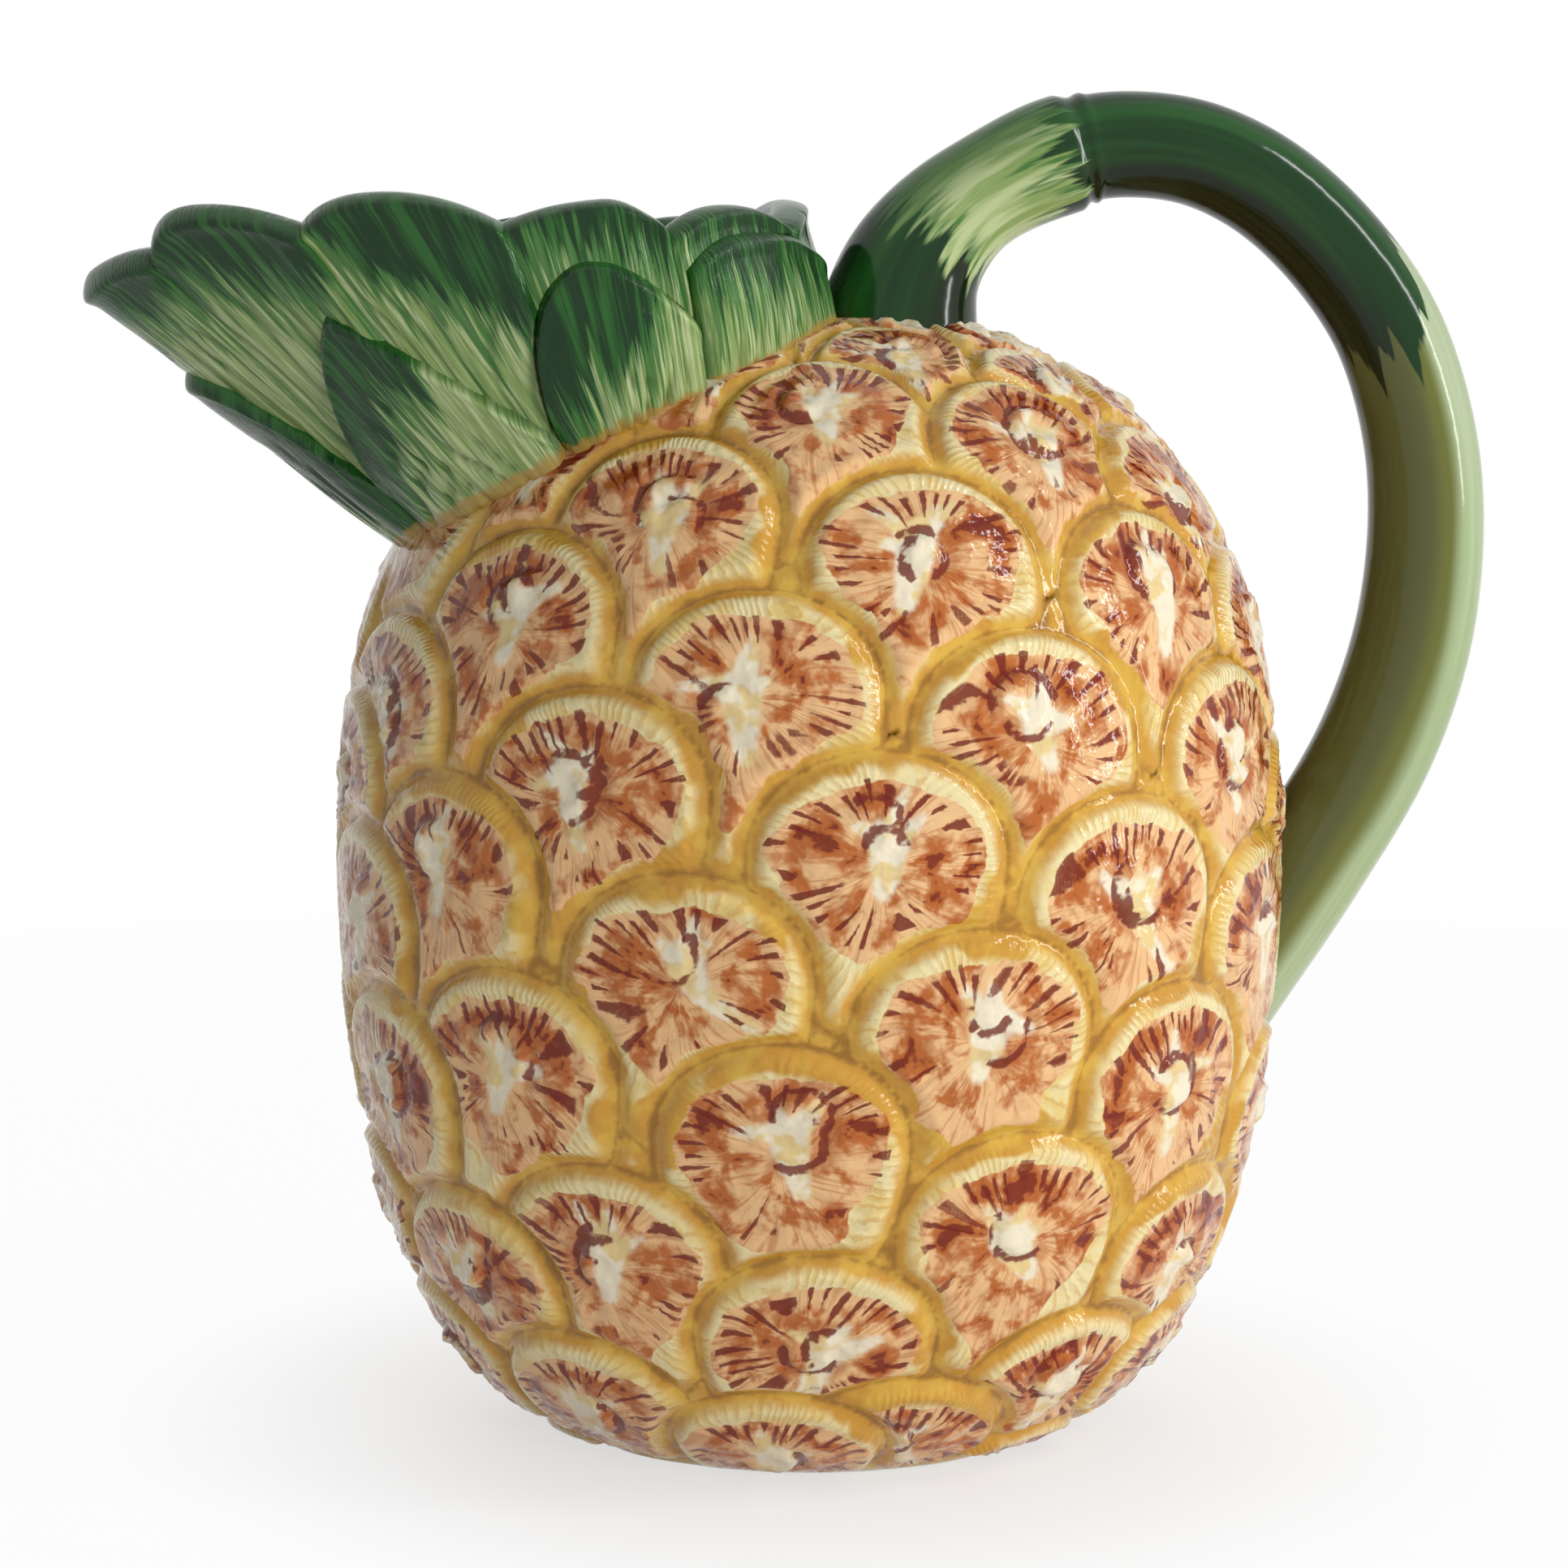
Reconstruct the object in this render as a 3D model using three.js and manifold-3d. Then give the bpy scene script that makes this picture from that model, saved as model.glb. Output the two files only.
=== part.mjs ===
// Pineapple jug in glazed earthenware: a hollow body covered with fruitlets, a crown of leaves
// that opens into the spout, and a cane handle. Millimetres, +Z up. The origin is the middle of
// the foot, the spout points along -X and the handle along +X.
import * as THREE from 'three';
import { mergeVertices } from 'three/addons/utils/BufferGeometryUtils.js';
import Module from 'manifold-3d';

// Body
const bellyRadius = 86;
const bellyHeight = 101;
const domeHeight = 203.2;
const domeRoundness = 2.5;
const footSharpness = 0.238;
const footDrop = 3.5;
const bodyWall = 5;
const floorThickness = 8;

// Fruitlets: they sit on one spiral, as on the fruit
const spiralStartDeg = 267.8;
const spiralTurnDeg = 137.64;
const spiralStartRise = 130.7;
const spiralStep = 2.38;
const fruitletHalfWidthDeg = 15.3;
const fruitletWidening = 0.6;
const fruitletTopHalf = 18.3;
const fruitletTailHalf = 32;
// Relief over the turned outline: the groove's floor, the bead that borders a fruitlet, the
// slope up to its middle, and how far its tail dips under its top
const grooveDrop = 1.7;
const grooveSide = 2.2;
const beadRise = 0.5;
const beadInset = 3.6;
const beadWidth = 4;
const middleRise = 1.1;
const middleInset = 17;
const scaleTilt = 0.028;
const footFade = 7;
const poleFade = 20;
const poleClear = 8;

// Neck ring, where the leaves meet the body, seen from above
const neckCentreX = -36;
const neckHalfLength = 39.8;
const neckHalfWidth = 43;
const neckReliefFade = 0.12;

// Crown wall and its rim
const collarWall = 4;
const mouthMargin = 1.5;
const rimCentreX = -41;
const rimBackLength = 37;
const rimHalfWidth = 44;
const rimFarDrop = 2;
const spoutReach = 85;
const spoutRoundness = 22;
const rimOverDome = 14.8;
const spoutTipDrop = 9.3;
const spoutTipSpreadDeg = 24;
const crownBelly = 3;
const farRiseShare = 0.6;

// Leaves
const rimLeafRise = 10;
const rimLeafEdge = 1.4;
const rimLeafMiddle = 2.7;
const rimLeafThinning = 0.35;
const rimLeafShoulder = 2.2;
// A rim leaf shows at least this much over the lower leaf in front of it
const leastStrip = 2;
const lowerLeafEdge = 1.8;
const lowerLeafBase = 2.85;
const lowerLeafTip = 5;
const leafSideGap = 0.45;
const leafEndGap = 0.8;

// Handle
const handleRootRadius = 15.3;
const handleTopRadius = 9.6;
const handleLowRadius = 11.1;
const handleRootSpread = 26;
const handleBehindRim = 20;
const handleStandOff = 28.9;
const handleRise = 30.3;
const handleFootHeight = 65.5;
const nodeFromRoot = 56;
const nodeRise = 0.9;
const nodeHalfLength = 4;

// Clearance between pieces that touch
const seat = 0.35;

// Width of the ring outside the crown wall that the lower leaves stand on
const leafBand = seat + lowerLeafBase;

// Mesh fineness
const bodyColumns = 102;
const bodyRows = 56;
const cavityColumns = 36;
const cavityRows = 16;
const collarColumns = 56;
const collarRows = 4;
const handleSides = 14;
const handleSteps = 36;
// Columns of the grid lean along the rows of fruitlets, in degrees per millimetre
const gridLean = 0.19;
const spiralReach = 62;
// How near a point of the grid must be to a groove to slide into it
const snapReach = 2;
const arcSteps = 400;
const leafRows = 5;
const lowerLeafColumnDeg = 4.5;
// Heights on the crown wall where the gaps between lower and between rim leaves are measured
const leafFootShare = 0.3;
const leafTopShare = 0.8;

const rad = THREE.MathUtils.degToRad;
const ease = THREE.MathUtils.smoothstep;
const lerp = THREE.MathUtils.lerp;

// Radius of an egg-shaped wall at a height
function wallRadius(z, belly, top, bottom) {
  if (z >= bellyHeight) {
    const up = Math.min((z - bellyHeight) / (top - bellyHeight), 1);
    return belly * (1 - up ** domeRoundness) ** (1 / domeRoundness);
  }
  const down = (bellyHeight - z) / (bellyHeight - bottom + footDrop);
  return belly * (1 - down ** 2) ** footSharpness;
}

const bodyRadius = (z) => wallRadius(z, bellyRadius, domeHeight, 0);

// Height of the dome above a point of the plan
function domeZ(x, y) {
  const share = Math.min(Math.hypot(x, y) / bellyRadius, 1);
  return bellyHeight + (domeHeight - bellyHeight) * (1 - share ** domeRoundness) ** (1 / domeRoundness);
}

// The dome point over a plan position, lifted off the surface by a gap
function seatOnDome(point, gap) {
  const slope = 0.5;
  const rise = domeZ(point.x, point.y);
  const dx = (domeZ(point.x + slope, point.y) - domeZ(point.x - slope, point.y)) / (2 * slope);
  const dy = (domeZ(point.x, point.y + slope) - domeZ(point.x, point.y - slope)) / (2 * slope);
  const normal = new THREE.Vector3(-dx, -dy, 1).normalize();
  return new THREE.Vector3(point.x, point.y, rise).addScaledVector(normal, gap);
}

// The body's outline from the foot's edge to the top, by distance along it
const outline = new THREE.CurvePath();
{
  const points = [];
  for (let i = 0; i <= arcSteps; i += 1) {
    const angle = (i / arcSteps) * Math.PI;
    const z = (domeHeight * (1 - Math.cos(angle))) / 2;
    points.push(new THREE.Vector2(bodyRadius(z), z));
  }
  for (let i = 0; i < arcSteps; i += 1) outline.add(new THREE.LineCurve(points[i], points[i + 1]));
}
const outlineLength = outline.getLength();

// Outline point and outward normal at a distance from the foot's edge
function outlineAt(s) {
  const reach = 0.8;
  const low = outline.getPointAt(Math.max(s - reach, 0) / outlineLength);
  const high = outline.getPointAt(Math.min(s + reach, outlineLength) / outlineLength);
  const along = high.clone().sub(low).normalize();
  const point = outline.getPointAt(Math.min(s / outlineLength, 1));
  return { r: point.x, z: point.y, nr: along.y, nz: -along.x };
}

// Fruitlets of the visible side that sit off the even spiral: degrees round, millimetres up
const nudges = new Map([
  [0, [3, 1]], [3, [4, 5]], [5, [0, -1]], [8, [1, 2]], [10, [-5.5, -3.5]], [11, [1, 5]],
  [13, [-1, -2]], [16, [3, 4]], [18, [-3.3, -4.5]], [21, [0, 2]], [24, [0, 2]], [26, [-5, -2]],
  [29, [3, 5]], [31, [0, -4]], [34, [-2, 1.4]], [42, [-1, 0]], [-3, [0, 1]], [-5, [3, 3]],
  [-8, [1.5, -1]], [-10, [1, 3]], [-11, [0, 8]], [-13, [4, 1]], [-16, [-1, -1]],
  [-18, [1.2, -0.5]], [-21, [2, 1]], [-24, [-5, 10]], [-26, [0, -4.5]], [-29, [0, -3.3]],
  [-31, [-0.6, -5]], [-34, [-4.4, -6.5]], [-37, [-3, 7]], [-39, [3, -10]], [-42, [-20, -7]],
  [-47, [-1, -2]], [-50, [0, -24]], [-52, [0, -9]], [-55, [-0.6, 14]],
]);

const fruitlets = [];
for (let k = -spiralReach; k <= spiralReach; k += 1) {
  const [round, up] = nudges.get(k) ?? [2 * Math.sin(7 * k), 3 * Math.sin(11 * k)];
  const rise = spiralStartRise + spiralStep * k + up;
  const onOutline = THREE.MathUtils.clamp(rise / outlineLength, 0, 1);
  const radius = Math.max(outline.getPointAt(onOutline).x, poleClear);
  fruitlets.push({
    deg: spiralStartDeg + spiralTurnDeg * k + round,
    rise,
    halfWidthDeg: fruitletHalfWidthDeg * (bellyRadius / radius) ** fruitletWidening,
  });
}
fruitlets.sort((a, b) => a.rise - b.rise);

// The distance from a point of the surface to the edge of its fruitlet, and its height in it; a
// lower fruitlet lies over the one above it, which gives each a round top and a pointed tail
function fruitletAt(deg, s) {
  let below = Infinity;
  for (const f of fruitlets) {
    const turn = THREE.MathUtils.euclideanModulo(deg - f.deg + 180, 360) - 180;
    const height = s - f.rise;
    const half = height > 0 ? fruitletTopHalf : fruitletTailHalf;
    const away = (Math.hypot(turn / f.halfWidthDeg, height / half) - 1) * fruitletTopHalf;
    if (away < 0) return { edge: Math.min(-away, below), height };
    below = Math.min(below, away);
  }
  return { edge: -below, height: 0 };
}

const fruitletEdge = (deg, s) => fruitletAt(deg, s).edge;

// Relief of a fruitlet by the distance from its edge, before its tilt
function pillow(edge) {
  const bead = lerp(-grooveDrop, 0, Math.min(Math.max(edge, 0) / grooveSide, 1));
  const crest = beadRise * ease(edge, grooveSide, beadInset);
  return bead + crest + (middleRise - beadRise) * ease(edge, beadInset + beadWidth, middleInset);
}

// How far out of the neck ring a plan point lies, 1 on the ring
function neckShare(x, y) {
  return Math.hypot((x - neckCentreX) / neckHalfLength, y / neckHalfWidth);
}

// Slide a point that lies close to a groove along the surface to the groove's middle
function slideToGroove(deg, s, fade) {
  const edge = fruitletEdge(deg, s);
  if (edge > snapReach) return [deg, s];
  const step = 0.3;
  const { r } = outlineAt(s);
  const perDegree = rad(1) * r;
  const round = (fruitletEdge(deg + step / perDegree, s) - edge) / step;
  const up = (fruitletEdge(deg, s + step) - edge) / step;
  const steep = Math.max(Math.hypot(round, up), 0.5);
  const slide = (fade * edge) / steep ** 2;
  return [deg - (slide * round) / perDegree, s - slide * up];
}

// Point of the body's outer surface, at an offset above it
function bodyPoint(gridDeg, gridRise, offset) {
  const ends = ease(gridRise, 0, footFade) * ease(outlineLength - gridRise, 0, poleFade);
  const [deg, s] = slideToGroove(gridDeg, gridRise, ends);
  const { r, z, nr, nz } = outlineAt(s);
  const x = r * Math.cos(rad(deg));
  const y = r * Math.sin(rad(deg));
  const neck = z > bellyHeight ? ease(neckShare(x, y), 1, 1 + neckReliefFade) : 1;
  const { edge, height } = fruitletAt(deg, s);
  const tilt = scaleTilt * height * ease(edge, 0, beadInset);
  const lift = ends * neck * (pillow(edge) + tilt) + offset;
  const reach = r + nr * lift;
  return new THREE.Vector3(reach * Math.cos(rad(deg)), reach * Math.sin(rad(deg)), z + nz * lift);
}

// Triangle soup helpers
function solidFrom(positions, triangles) {
  const geometry = new THREE.BufferGeometry();
  geometry.setAttribute('position', new THREE.Float32BufferAttribute(positions, 3));
  geometry.setIndex(triangles);
  return outward(geometry);
}

// Turn every face outward, going by the sign of the enclosed volume
function outward(geometry) {
  const p = geometry.getAttribute('position');
  const index = geometry.index.array;
  const [a, b, c] = [new THREE.Vector3(), new THREE.Vector3(), new THREE.Vector3()];
  let volume = 0;
  for (let i = 0; i < index.length; i += 3) {
    a.fromBufferAttribute(p, index[i]);
    b.fromBufferAttribute(p, index[i + 1]);
    c.fromBufferAttribute(p, index[i + 2]);
    volume += a.dot(b.cross(c));
  }
  if (volume < 0) geometry.setIndex(Array.from(index).reverse());
  return geometry;
}

// A closed solid from rings of points, closed at both ends by a fan to a middle point
function loft(rings, startMiddle, endMiddle) {
  const count = rings[0].length;
  const points = [...rings.flat(), startMiddle, endMiddle];
  const start = points.length - 2;
  const end = points.length - 1;
  const last = (rings.length - 1) * count;
  const triangles = [];
  for (let j = 0; j < count; j += 1) {
    const next = (j + 1) % count;
    triangles.push(start, next, j, end, last + j, last + next);
    for (let i = 0; i < last; i += count) {
      triangles.push(i + j, i + next, i + count + next, i + j, i + count + next, i + count + j);
    }
  }
  return solidFrom(points.flatMap((v) => v.toArray()), triangles);
}

// A closed plate between a front and a back surface, given as point(column, row, isFront)
function plate(columns, rows, wraps, point) {
  const across = wraps ? columns : columns + 1;
  const positions = [];
  for (const isFront of [true, false]) {
    for (let i = 0; i <= rows; i += 1) {
      for (let j = 0; j < across; j += 1) {
        positions.push(...point(j / columns, i / rows, isFront).toArray());
      }
    }
  }
  const sheet = (rows + 1) * across;
  const triangles = [];
  const quad = (a, b, c, d) => triangles.push(a, b, c, a, c, d);
  for (let j = 0; j < columns; j += 1) {
    const next = (j + 1) % across;
    const top = rows * across;
    for (let i = 0; i < top; i += across) {
      quad(i + j, i + next, i + across + next, i + across + j);
      quad(sheet + i + next, sheet + i + j, sheet + i + across + j, sheet + i + across + next);
    }
    quad(next, j, sheet + j, sheet + next);
    quad(top + j, top + next, sheet + top + next, sheet + top + j);
  }
  if (!wraps) {
    for (let i = 0; i < rows * across; i += across) {
      const edge = i + columns;
      quad(i, i + across, sheet + i + across, sheet + i);
      quad(edge + across, edge, sheet + edge, sheet + edge + across);
    }
  }
  return solidFrom(positions, triangles);
}

const wasm = await Module();
wasm.setup();

function toManifold(source) {
  const bare = source.clone();
  bare.deleteAttribute('normal');
  bare.deleteAttribute('uv');
  const merged = mergeVertices(bare, 1e-4);
  return new wasm.Manifold(new wasm.Mesh({
    numProp: 3,
    vertProperties: new Float32Array(merged.getAttribute('position').array),
    triVerts: new Uint32Array(merged.index.array),
  }));
}

function fromManifold(solid) {
  const mesh = solid.getMesh();
  const geometry = new THREE.BufferGeometry();
  geometry.setAttribute('position', new THREE.BufferAttribute(mesh.vertProperties, mesh.numProp));
  geometry.setIndex(new THREE.BufferAttribute(mesh.triVerts, 1));
  return geometry;
}

// The body's outside as a full solid, swollen by an offset
function bodyOutside(offset) {
  const rings = [];
  const topStop = 0.985;
  for (let i = 0; i <= bodyRows; i += 1) {
    const s = (i / bodyRows) * outlineLength * topStop;
    const ring = [];
    for (let j = 0; j < bodyColumns; j += 1) {
      ring.push(bodyPoint((360 * j) / bodyColumns + gridLean * s, s, offset));
    }
    rings.push(ring);
  }
  return loft(rings, new THREE.Vector3(0, 0, -offset), new THREE.Vector3(0, 0, domeHeight + offset));
}

// The hollow inside, a turned shape with an even wall around it
function cavity() {
  const belly = bellyRadius - bodyWall;
  const top = domeHeight - bodyWall;
  const profile = [new THREE.Vector2(0, floorThickness)];
  for (let i = 0; i < cavityRows; i += 1) {
    const angle = (i / cavityRows) * Math.PI;
    const z = lerp(top, floorThickness, (1 + Math.cos(angle)) / 2);
    profile.push(new THREE.Vector2(wallRadius(z, belly, top, floorThickness), z));
  }
  profile.push(new THREE.Vector2(0, top));
  return new THREE.LatheGeometry(profile, cavityColumns).rotateX(Math.PI / 2);
}

// The round hole through the dome that joins the hollow to the crown, square to the neck's slope
function neckOpening() {
  const low = domeZ(neckCentreX - neckHalfLength, 0);
  const high = domeZ(neckCentreX + neckHalfLength, 0);
  const tilt = Math.atan2(high - low, 2 * neckHalfLength);
  const depth = 1.5 * neckHalfLength;
  const inset = leafBand + collarWall + mouthMargin;
  const shape = new THREE.Shape();
  shape.absellipse(0, 0, neckHalfLength / Math.cos(tilt) - inset, neckHalfWidth - inset, 0, 2 * Math.PI);
  const cutter = new THREE.ExtrudeGeometry(shape, { depth, bevelEnabled: false, curveSegments: 40 });
  cutter.translate(0, 0, -depth / 2);
  cutter.rotateY(-tilt);
  return cutter.translate(neckCentreX, 0, (low + high) / 2);
}

function bodyGeometry() {
  const outside = toManifold(bodyOutside(0));
  return fromManifold(outside.subtract(toManifold(cavity())).subtract(toManifold(neckOpening())));
}

// Crown wall: deg is 0 at the spout, 90 on the left side and 180 at the handle
function neckPoint(deg) {
  const x = neckCentreX - (neckHalfLength - leafBand) * Math.cos(rad(deg));
  const y = -(neckHalfWidth - leafBand) * Math.sin(rad(deg));
  return new THREE.Vector3(x, y, domeZ(x, y));
}

function rimPoint(deg) {
  const forward = Math.cos(rad(deg));
  const side = Math.sin(rad(deg));
  const turn = THREE.MathUtils.euclideanModulo(deg + 180, 360) - 180;
  const tipDrop = spoutTipDrop * Math.exp(-((turn / spoutTipSpreadDeg) ** 2));
  const z = domeHeight + rimOverDome - tipDrop - rimFarDrop * ease(-side, 0, 1);
  if (forward < 0) {
    return new THREE.Vector3(rimCentreX - rimBackLength * forward, -rimHalfWidth * side, z);
  }
  const flank = (rimHalfWidth - spoutRoundness) * Math.cos((Math.PI / 2) * forward);
  const y = -(Math.sign(side) * flank + spoutRoundness * side);
  return new THREE.Vector3(rimCentreX - spoutReach * forward, y, z);
}

// Outer face of the crown wall; t is 0 at the neck and 1 at the rim, and runs past 1 for leaf tips
function wallFace(deg, t) {
  const foot = neckPoint(deg);
  const rim = rimPoint(deg);
  const middle = foot.clone().lerp(rim, 0.5);
  const out = new THREE.Vector3(-Math.cos(rad(deg)), -Math.sin(rad(deg)), 0);
  middle.addScaledVector(out, crownBelly * Math.sin(rad(deg)) ** 2);
  const a = foot.multiplyScalar((1 - t) ** 2);
  const b = middle.multiplyScalar(2 * t * (1 - t));
  const c = rim.multiplyScalar(t ** 2);
  return a.add(b).add(c);
}

// Point at an offset outside the crown wall's outer face
function crownPoint(deg, t, offset) {
  const step = 0.5;
  const round = wallFace(deg + step, t).sub(wallFace(deg - step, t));
  const up = wallFace(deg, t + step / 10).sub(wallFace(deg, t - step / 10));
  const normal = round.cross(up).normalize();
  return wallFace(deg, t).addScaledVector(normal, offset);
}

// Share of the crown wall's height that a length along it covers
function shareOfLength(deg, t, length) {
  const step = 0.05;
  return (length * step) / wallFace(deg, t + step).distanceTo(wallFace(deg, t));
}

function collarGeometry() {
  return plate(collarColumns, collarRows, true, (across, up, isFront) => {
    const deg = 360 * across;
    const point = crownPoint(deg, up, isFront ? 0 : -collarWall);
    return up === 0 ? seatOnDome(point, seat) : point;
  });
}

// The crown's wall with its rim leaves as one full shape, swollen by the gap to the handle
function crownOutside() {
  const overTop = 1.5;
  const underFoot = -0.4;
  return plate(collarColumns, collarRows, true, (across, up, isFront) => {
    const offset = isFront ? 2 * seat + rimLeafMiddle : -collarWall;
    return crownPoint(360 * across, lerp(underFoot, overTop, up), offset);
  });
}

// Lower leaves: directions are the degrees round of one side, the tip and the other side, reach is
// the share of the wall's height there, shoulder rounds the outline, fullness swells the leaf and
// thinning thins its tip
const lowerLeaves = [
  {
    name: 'under_spout_leaf',
    directions: [-24, 0, 24],
    reach: [0.16, 0.71, 0.16],
    shoulder: 2.4,
    fullness: 1.3,
    thinning: 0,
  },
  {
    name: 'lower_leaf_left_1',
    directions: [24, 50, 72],
    reach: [0.12, 0.74, 0.08],
    shoulder: 1.15,
    fullness: 1,
    thinning: 0.5,
  },
  {
    name: 'lower_leaf_left_2',
    directions: [72, 87.5, 109],
    reach: [0.08, 0.92, 0.42],
    shoulder: 1.8,
    fullness: 1,
    thinning: 0.5,
  },
  {
    name: 'lower_leaf_left_3',
    directions: [109, 132, 162],
    reach: [0.84, 1.06, 0.6],
    shoulder: 3,
    fullness: 0.8,
    thinning: 0.5,
  },
];

// Rim leaves: rise is how far one side, the round top and the other side stand over the crown
// wall, as shares of the tallest leaf's rise
const rimLeaves = [
  { name: 'spout_leaf', from: -27, to: 27, rise: [0.05, 0.4, 0.05], columns: 12 },
  { name: 'rim_leaf_left_1', from: 27, to: 55, rise: [-0.05, 0.84, 0.3], columns: 8 },
  { name: 'rim_leaf_left_2', from: 55, to: 79, rise: [0.3, 1, 0.3], columns: 8 },
  { name: 'rim_leaf_left_3', from: 79, to: 106, rise: [0.3, 0.75, 0.2], columns: 8 },
  { name: 'rim_leaf_left_4', from: 106, to: 150, rise: [0.12, 0.63, 0.06], columns: 9 },
  { name: 'rim_leaf_back', from: 150, to: 210, rise: [0.2, 0.6, 0.2], columns: 10 },
];

// The same leaves on the far side, where the rim stands a little lower
const farName = (leaf) => leaf.name.replace('left', 'right');
const turned = (values) => values.map((value) => -value).reverse();

function farLower(leaf) {
  const reach = [...leaf.reach].reverse();
  return { ...leaf, name: farName(leaf), directions: turned(leaf.directions), reach };
}

function farRim(leaf) {
  const rise = leaf.rise.map((value) => value * farRiseShare).reverse();
  return { ...leaf, name: farName(leaf), from: -leaf.to, to: -leaf.from, rise };
}

const isLeft = (leaf) => leaf.name.includes('left');
const allLower = [...lowerLeaves, ...lowerLeaves.filter(isLeft).map(farLower)];
const allRim = [...rimLeaves, ...rimLeaves.filter(isLeft).map(farRim)];

// Top of a lower leaf at a direction, as a share of the wall's height
function lowerTop(leaf, deg) {
  const [from, tip, to] = leaf.directions;
  const end = deg < tip ? from : to;
  const side = deg < tip ? leaf.reach[0] : leaf.reach[2];
  const far = Math.min((deg - tip) / (end - tip), 1);
  return side + (leaf.reach[1] - side) * (1 - far ** leaf.shoulder);
}

// Degrees that a gap spans on the crown at a direction and height
function degreesFor(length, deg, t) {
  return length / wallFace(deg + 0.5, t).distanceTo(wallFace(deg - 0.5, t));
}

// Highest lower leaf within a spread of degrees about a direction, 0 where there is none
function lowerCover(deg, spread) {
  let cover = 0;
  for (const leaf of allLower) {
    const [from, tip, to] = leaf.directions;
    for (const part of [-1, -0.5, 0, 0.5, 1]) {
      const near = deg + part * spread;
      const turn = THREE.MathUtils.euclideanModulo(near - tip + 180, 360) - 180 + tip;
      if (turn > from && turn < to) cover = Math.max(cover, lowerTop(leaf, turn));
    }
  }
  return cover;
}

// Share of a leaf's full thickness left near its tip, where it thins to an edge
const tipTaper = (up, thinning) => 1 - thinning * up ** 6;

function lowerLeafGeometry(leaf) {
  const [from, tip, to] = leaf.directions;
  const columns = Math.max(8, Math.round((to - from) / lowerLeafColumnDeg));
  const margin = degreesFor(leafSideGap / 2, tip, leafFootShare);
  return plate(columns, leafRows, false, (across, up, isFront) => {
    const deg = lerp(from + margin, to - margin, across);
    const t = up * lowerTop(leaf, deg);
    const round = Math.sqrt(1 - Math.abs(2 * across - 1) ** 4);
    const middle = lerp(lowerLeafBase, lowerLeafTip, up) - lowerLeafEdge;
    const thickness = lowerLeafEdge + middle * leaf.fullness * round * tipTaper(up, leaf.thinning);
    const point = crownPoint(deg, t, isFront ? seat + thickness : seat);
    return up === 0 ? seatOnDome(point, seat) : point;
  });
}

function rimLeafGeometry(leaf) {
  const margin = degreesFor(leafSideGap / 2, (leaf.from + leaf.to) / 2, leafTopShare);
  const halfColumn = (leaf.to - leaf.from) / (2 * leaf.columns);
  return plate(leaf.columns, leafRows, false, (across, up, isFront) => {
    const deg = lerp(leaf.from + margin, leaf.to - margin, across);
    const bulge = 1 - Math.abs(2 * across - 1) ** rimLeafShoulder;
    const rise = rimLeafRise * lerp(across < 0.5 ? leaf.rise[0] : leaf.rise[2], leaf.rise[1], bulge);
    const cover = lowerCover(deg, degreesFor(leafEndGap, deg, leafFootShare) + halfColumn);
    const bottom = cover > 0 ? cover + shareOfLength(deg, cover, leafEndGap) : 0;
    const least = bottom + shareOfLength(deg, 1, leastStrip);
    const top = Math.max(1 + shareOfLength(deg, 1, rise), least);
    const full = lerp(rimLeafEdge, rimLeafMiddle, Math.sqrt(bulge));
    const thickness = full * tipTaper(up, rimLeafThinning);
    const point = crownPoint(deg, lerp(bottom, top, up), isFront ? seat + thickness : seat);
    return bottom === 0 && up === 0 ? seatOnDome(point, seat) : point;
  });
}

// Handle: the cane's middle line, from the dome behind the crown over the node to the belly, as
// shares of the way out from the root and of the way up from the foot
const handleShape = [
  [0, 0.753], [0.004, 0.818], [0.035, 0.875], [0.11, 0.929], [0.226, 0.971], [0.348, 0.996],
  [0.452, 1], [0.564, 0.989], [0.686, 0.954], [0.81, 0.89], [0.916, 0.804], [0.979, 0.699],
  [1, 0.592], [0.979, 0.461], [0.909, 0.338], [0.79, 0.217], [0.625, 0.073], [0.541, 0],
];
const handleRootX = rimCentreX + rimBackLength + handleBehindRim;
const handlePath = new THREE.CatmullRomCurve3(
  handleShape.map(([out, up]) => new THREE.Vector3(
    lerp(handleRootX, bellyRadius + handleStandOff, out),
    0,
    lerp(handleFootHeight, domeHeight + handleRise, up),
  )),
  false,
  'centripetal',
);

// The tube thickens between these shares of its length
const thinnestShare = 0.3;
const thickestShare = 0.75;

function handleRadius(share) {
  const fromRoot = share * handlePath.getLength();
  const root = (handleRootRadius - handleTopRadius) * Math.exp(-((fromRoot / handleRootSpread) ** 2));
  const tube = lerp(handleTopRadius, handleLowRadius, ease(share, thinnestShare, thickestShare));
  const node = nodeRise * Math.exp(-(((fromRoot - nodeFromRoot) / nodeHalfLength) ** 2));
  return tube + root + node;
}

function handleGeometry() {
  const rings = [];
  for (let i = 0; i <= handleSteps; i += 1) {
    const share = i / handleSteps;
    const middle = handlePath.getPointAt(share);
    const along = handlePath.getTangentAt(share);
    const across = new THREE.Vector3(along.z, 0, -along.x);
    const radius = handleRadius(share);
    const ring = [];
    for (let j = 0; j < handleSides; j += 1) {
      const angle = (2 * Math.PI * j) / handleSides;
      const point = middle.clone().addScaledVector(across, radius * Math.cos(angle));
      ring.push(point.add(new THREE.Vector3(0, radius * Math.sin(angle), 0)));
    }
    rings.push(ring);
  }
  const tube = loft(rings, handlePath.getPointAt(0), handlePath.getPointAt(1));
  const standing = toManifold(tube).subtract(toManifold(bodyOutside(seat)));
  return fromManifold(standing.subtract(toManifold(crownOutside())));
}

const jug = new THREE.Group();

function addPiece(name, geometry, colour, roughness) {
  const material = new THREE.MeshStandardMaterial({ color: colour, roughness, metalness: 0 });
  const mesh = new THREE.Mesh(geometry, material);
  mesh.name = name;
  jug.add(mesh);
}

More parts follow.
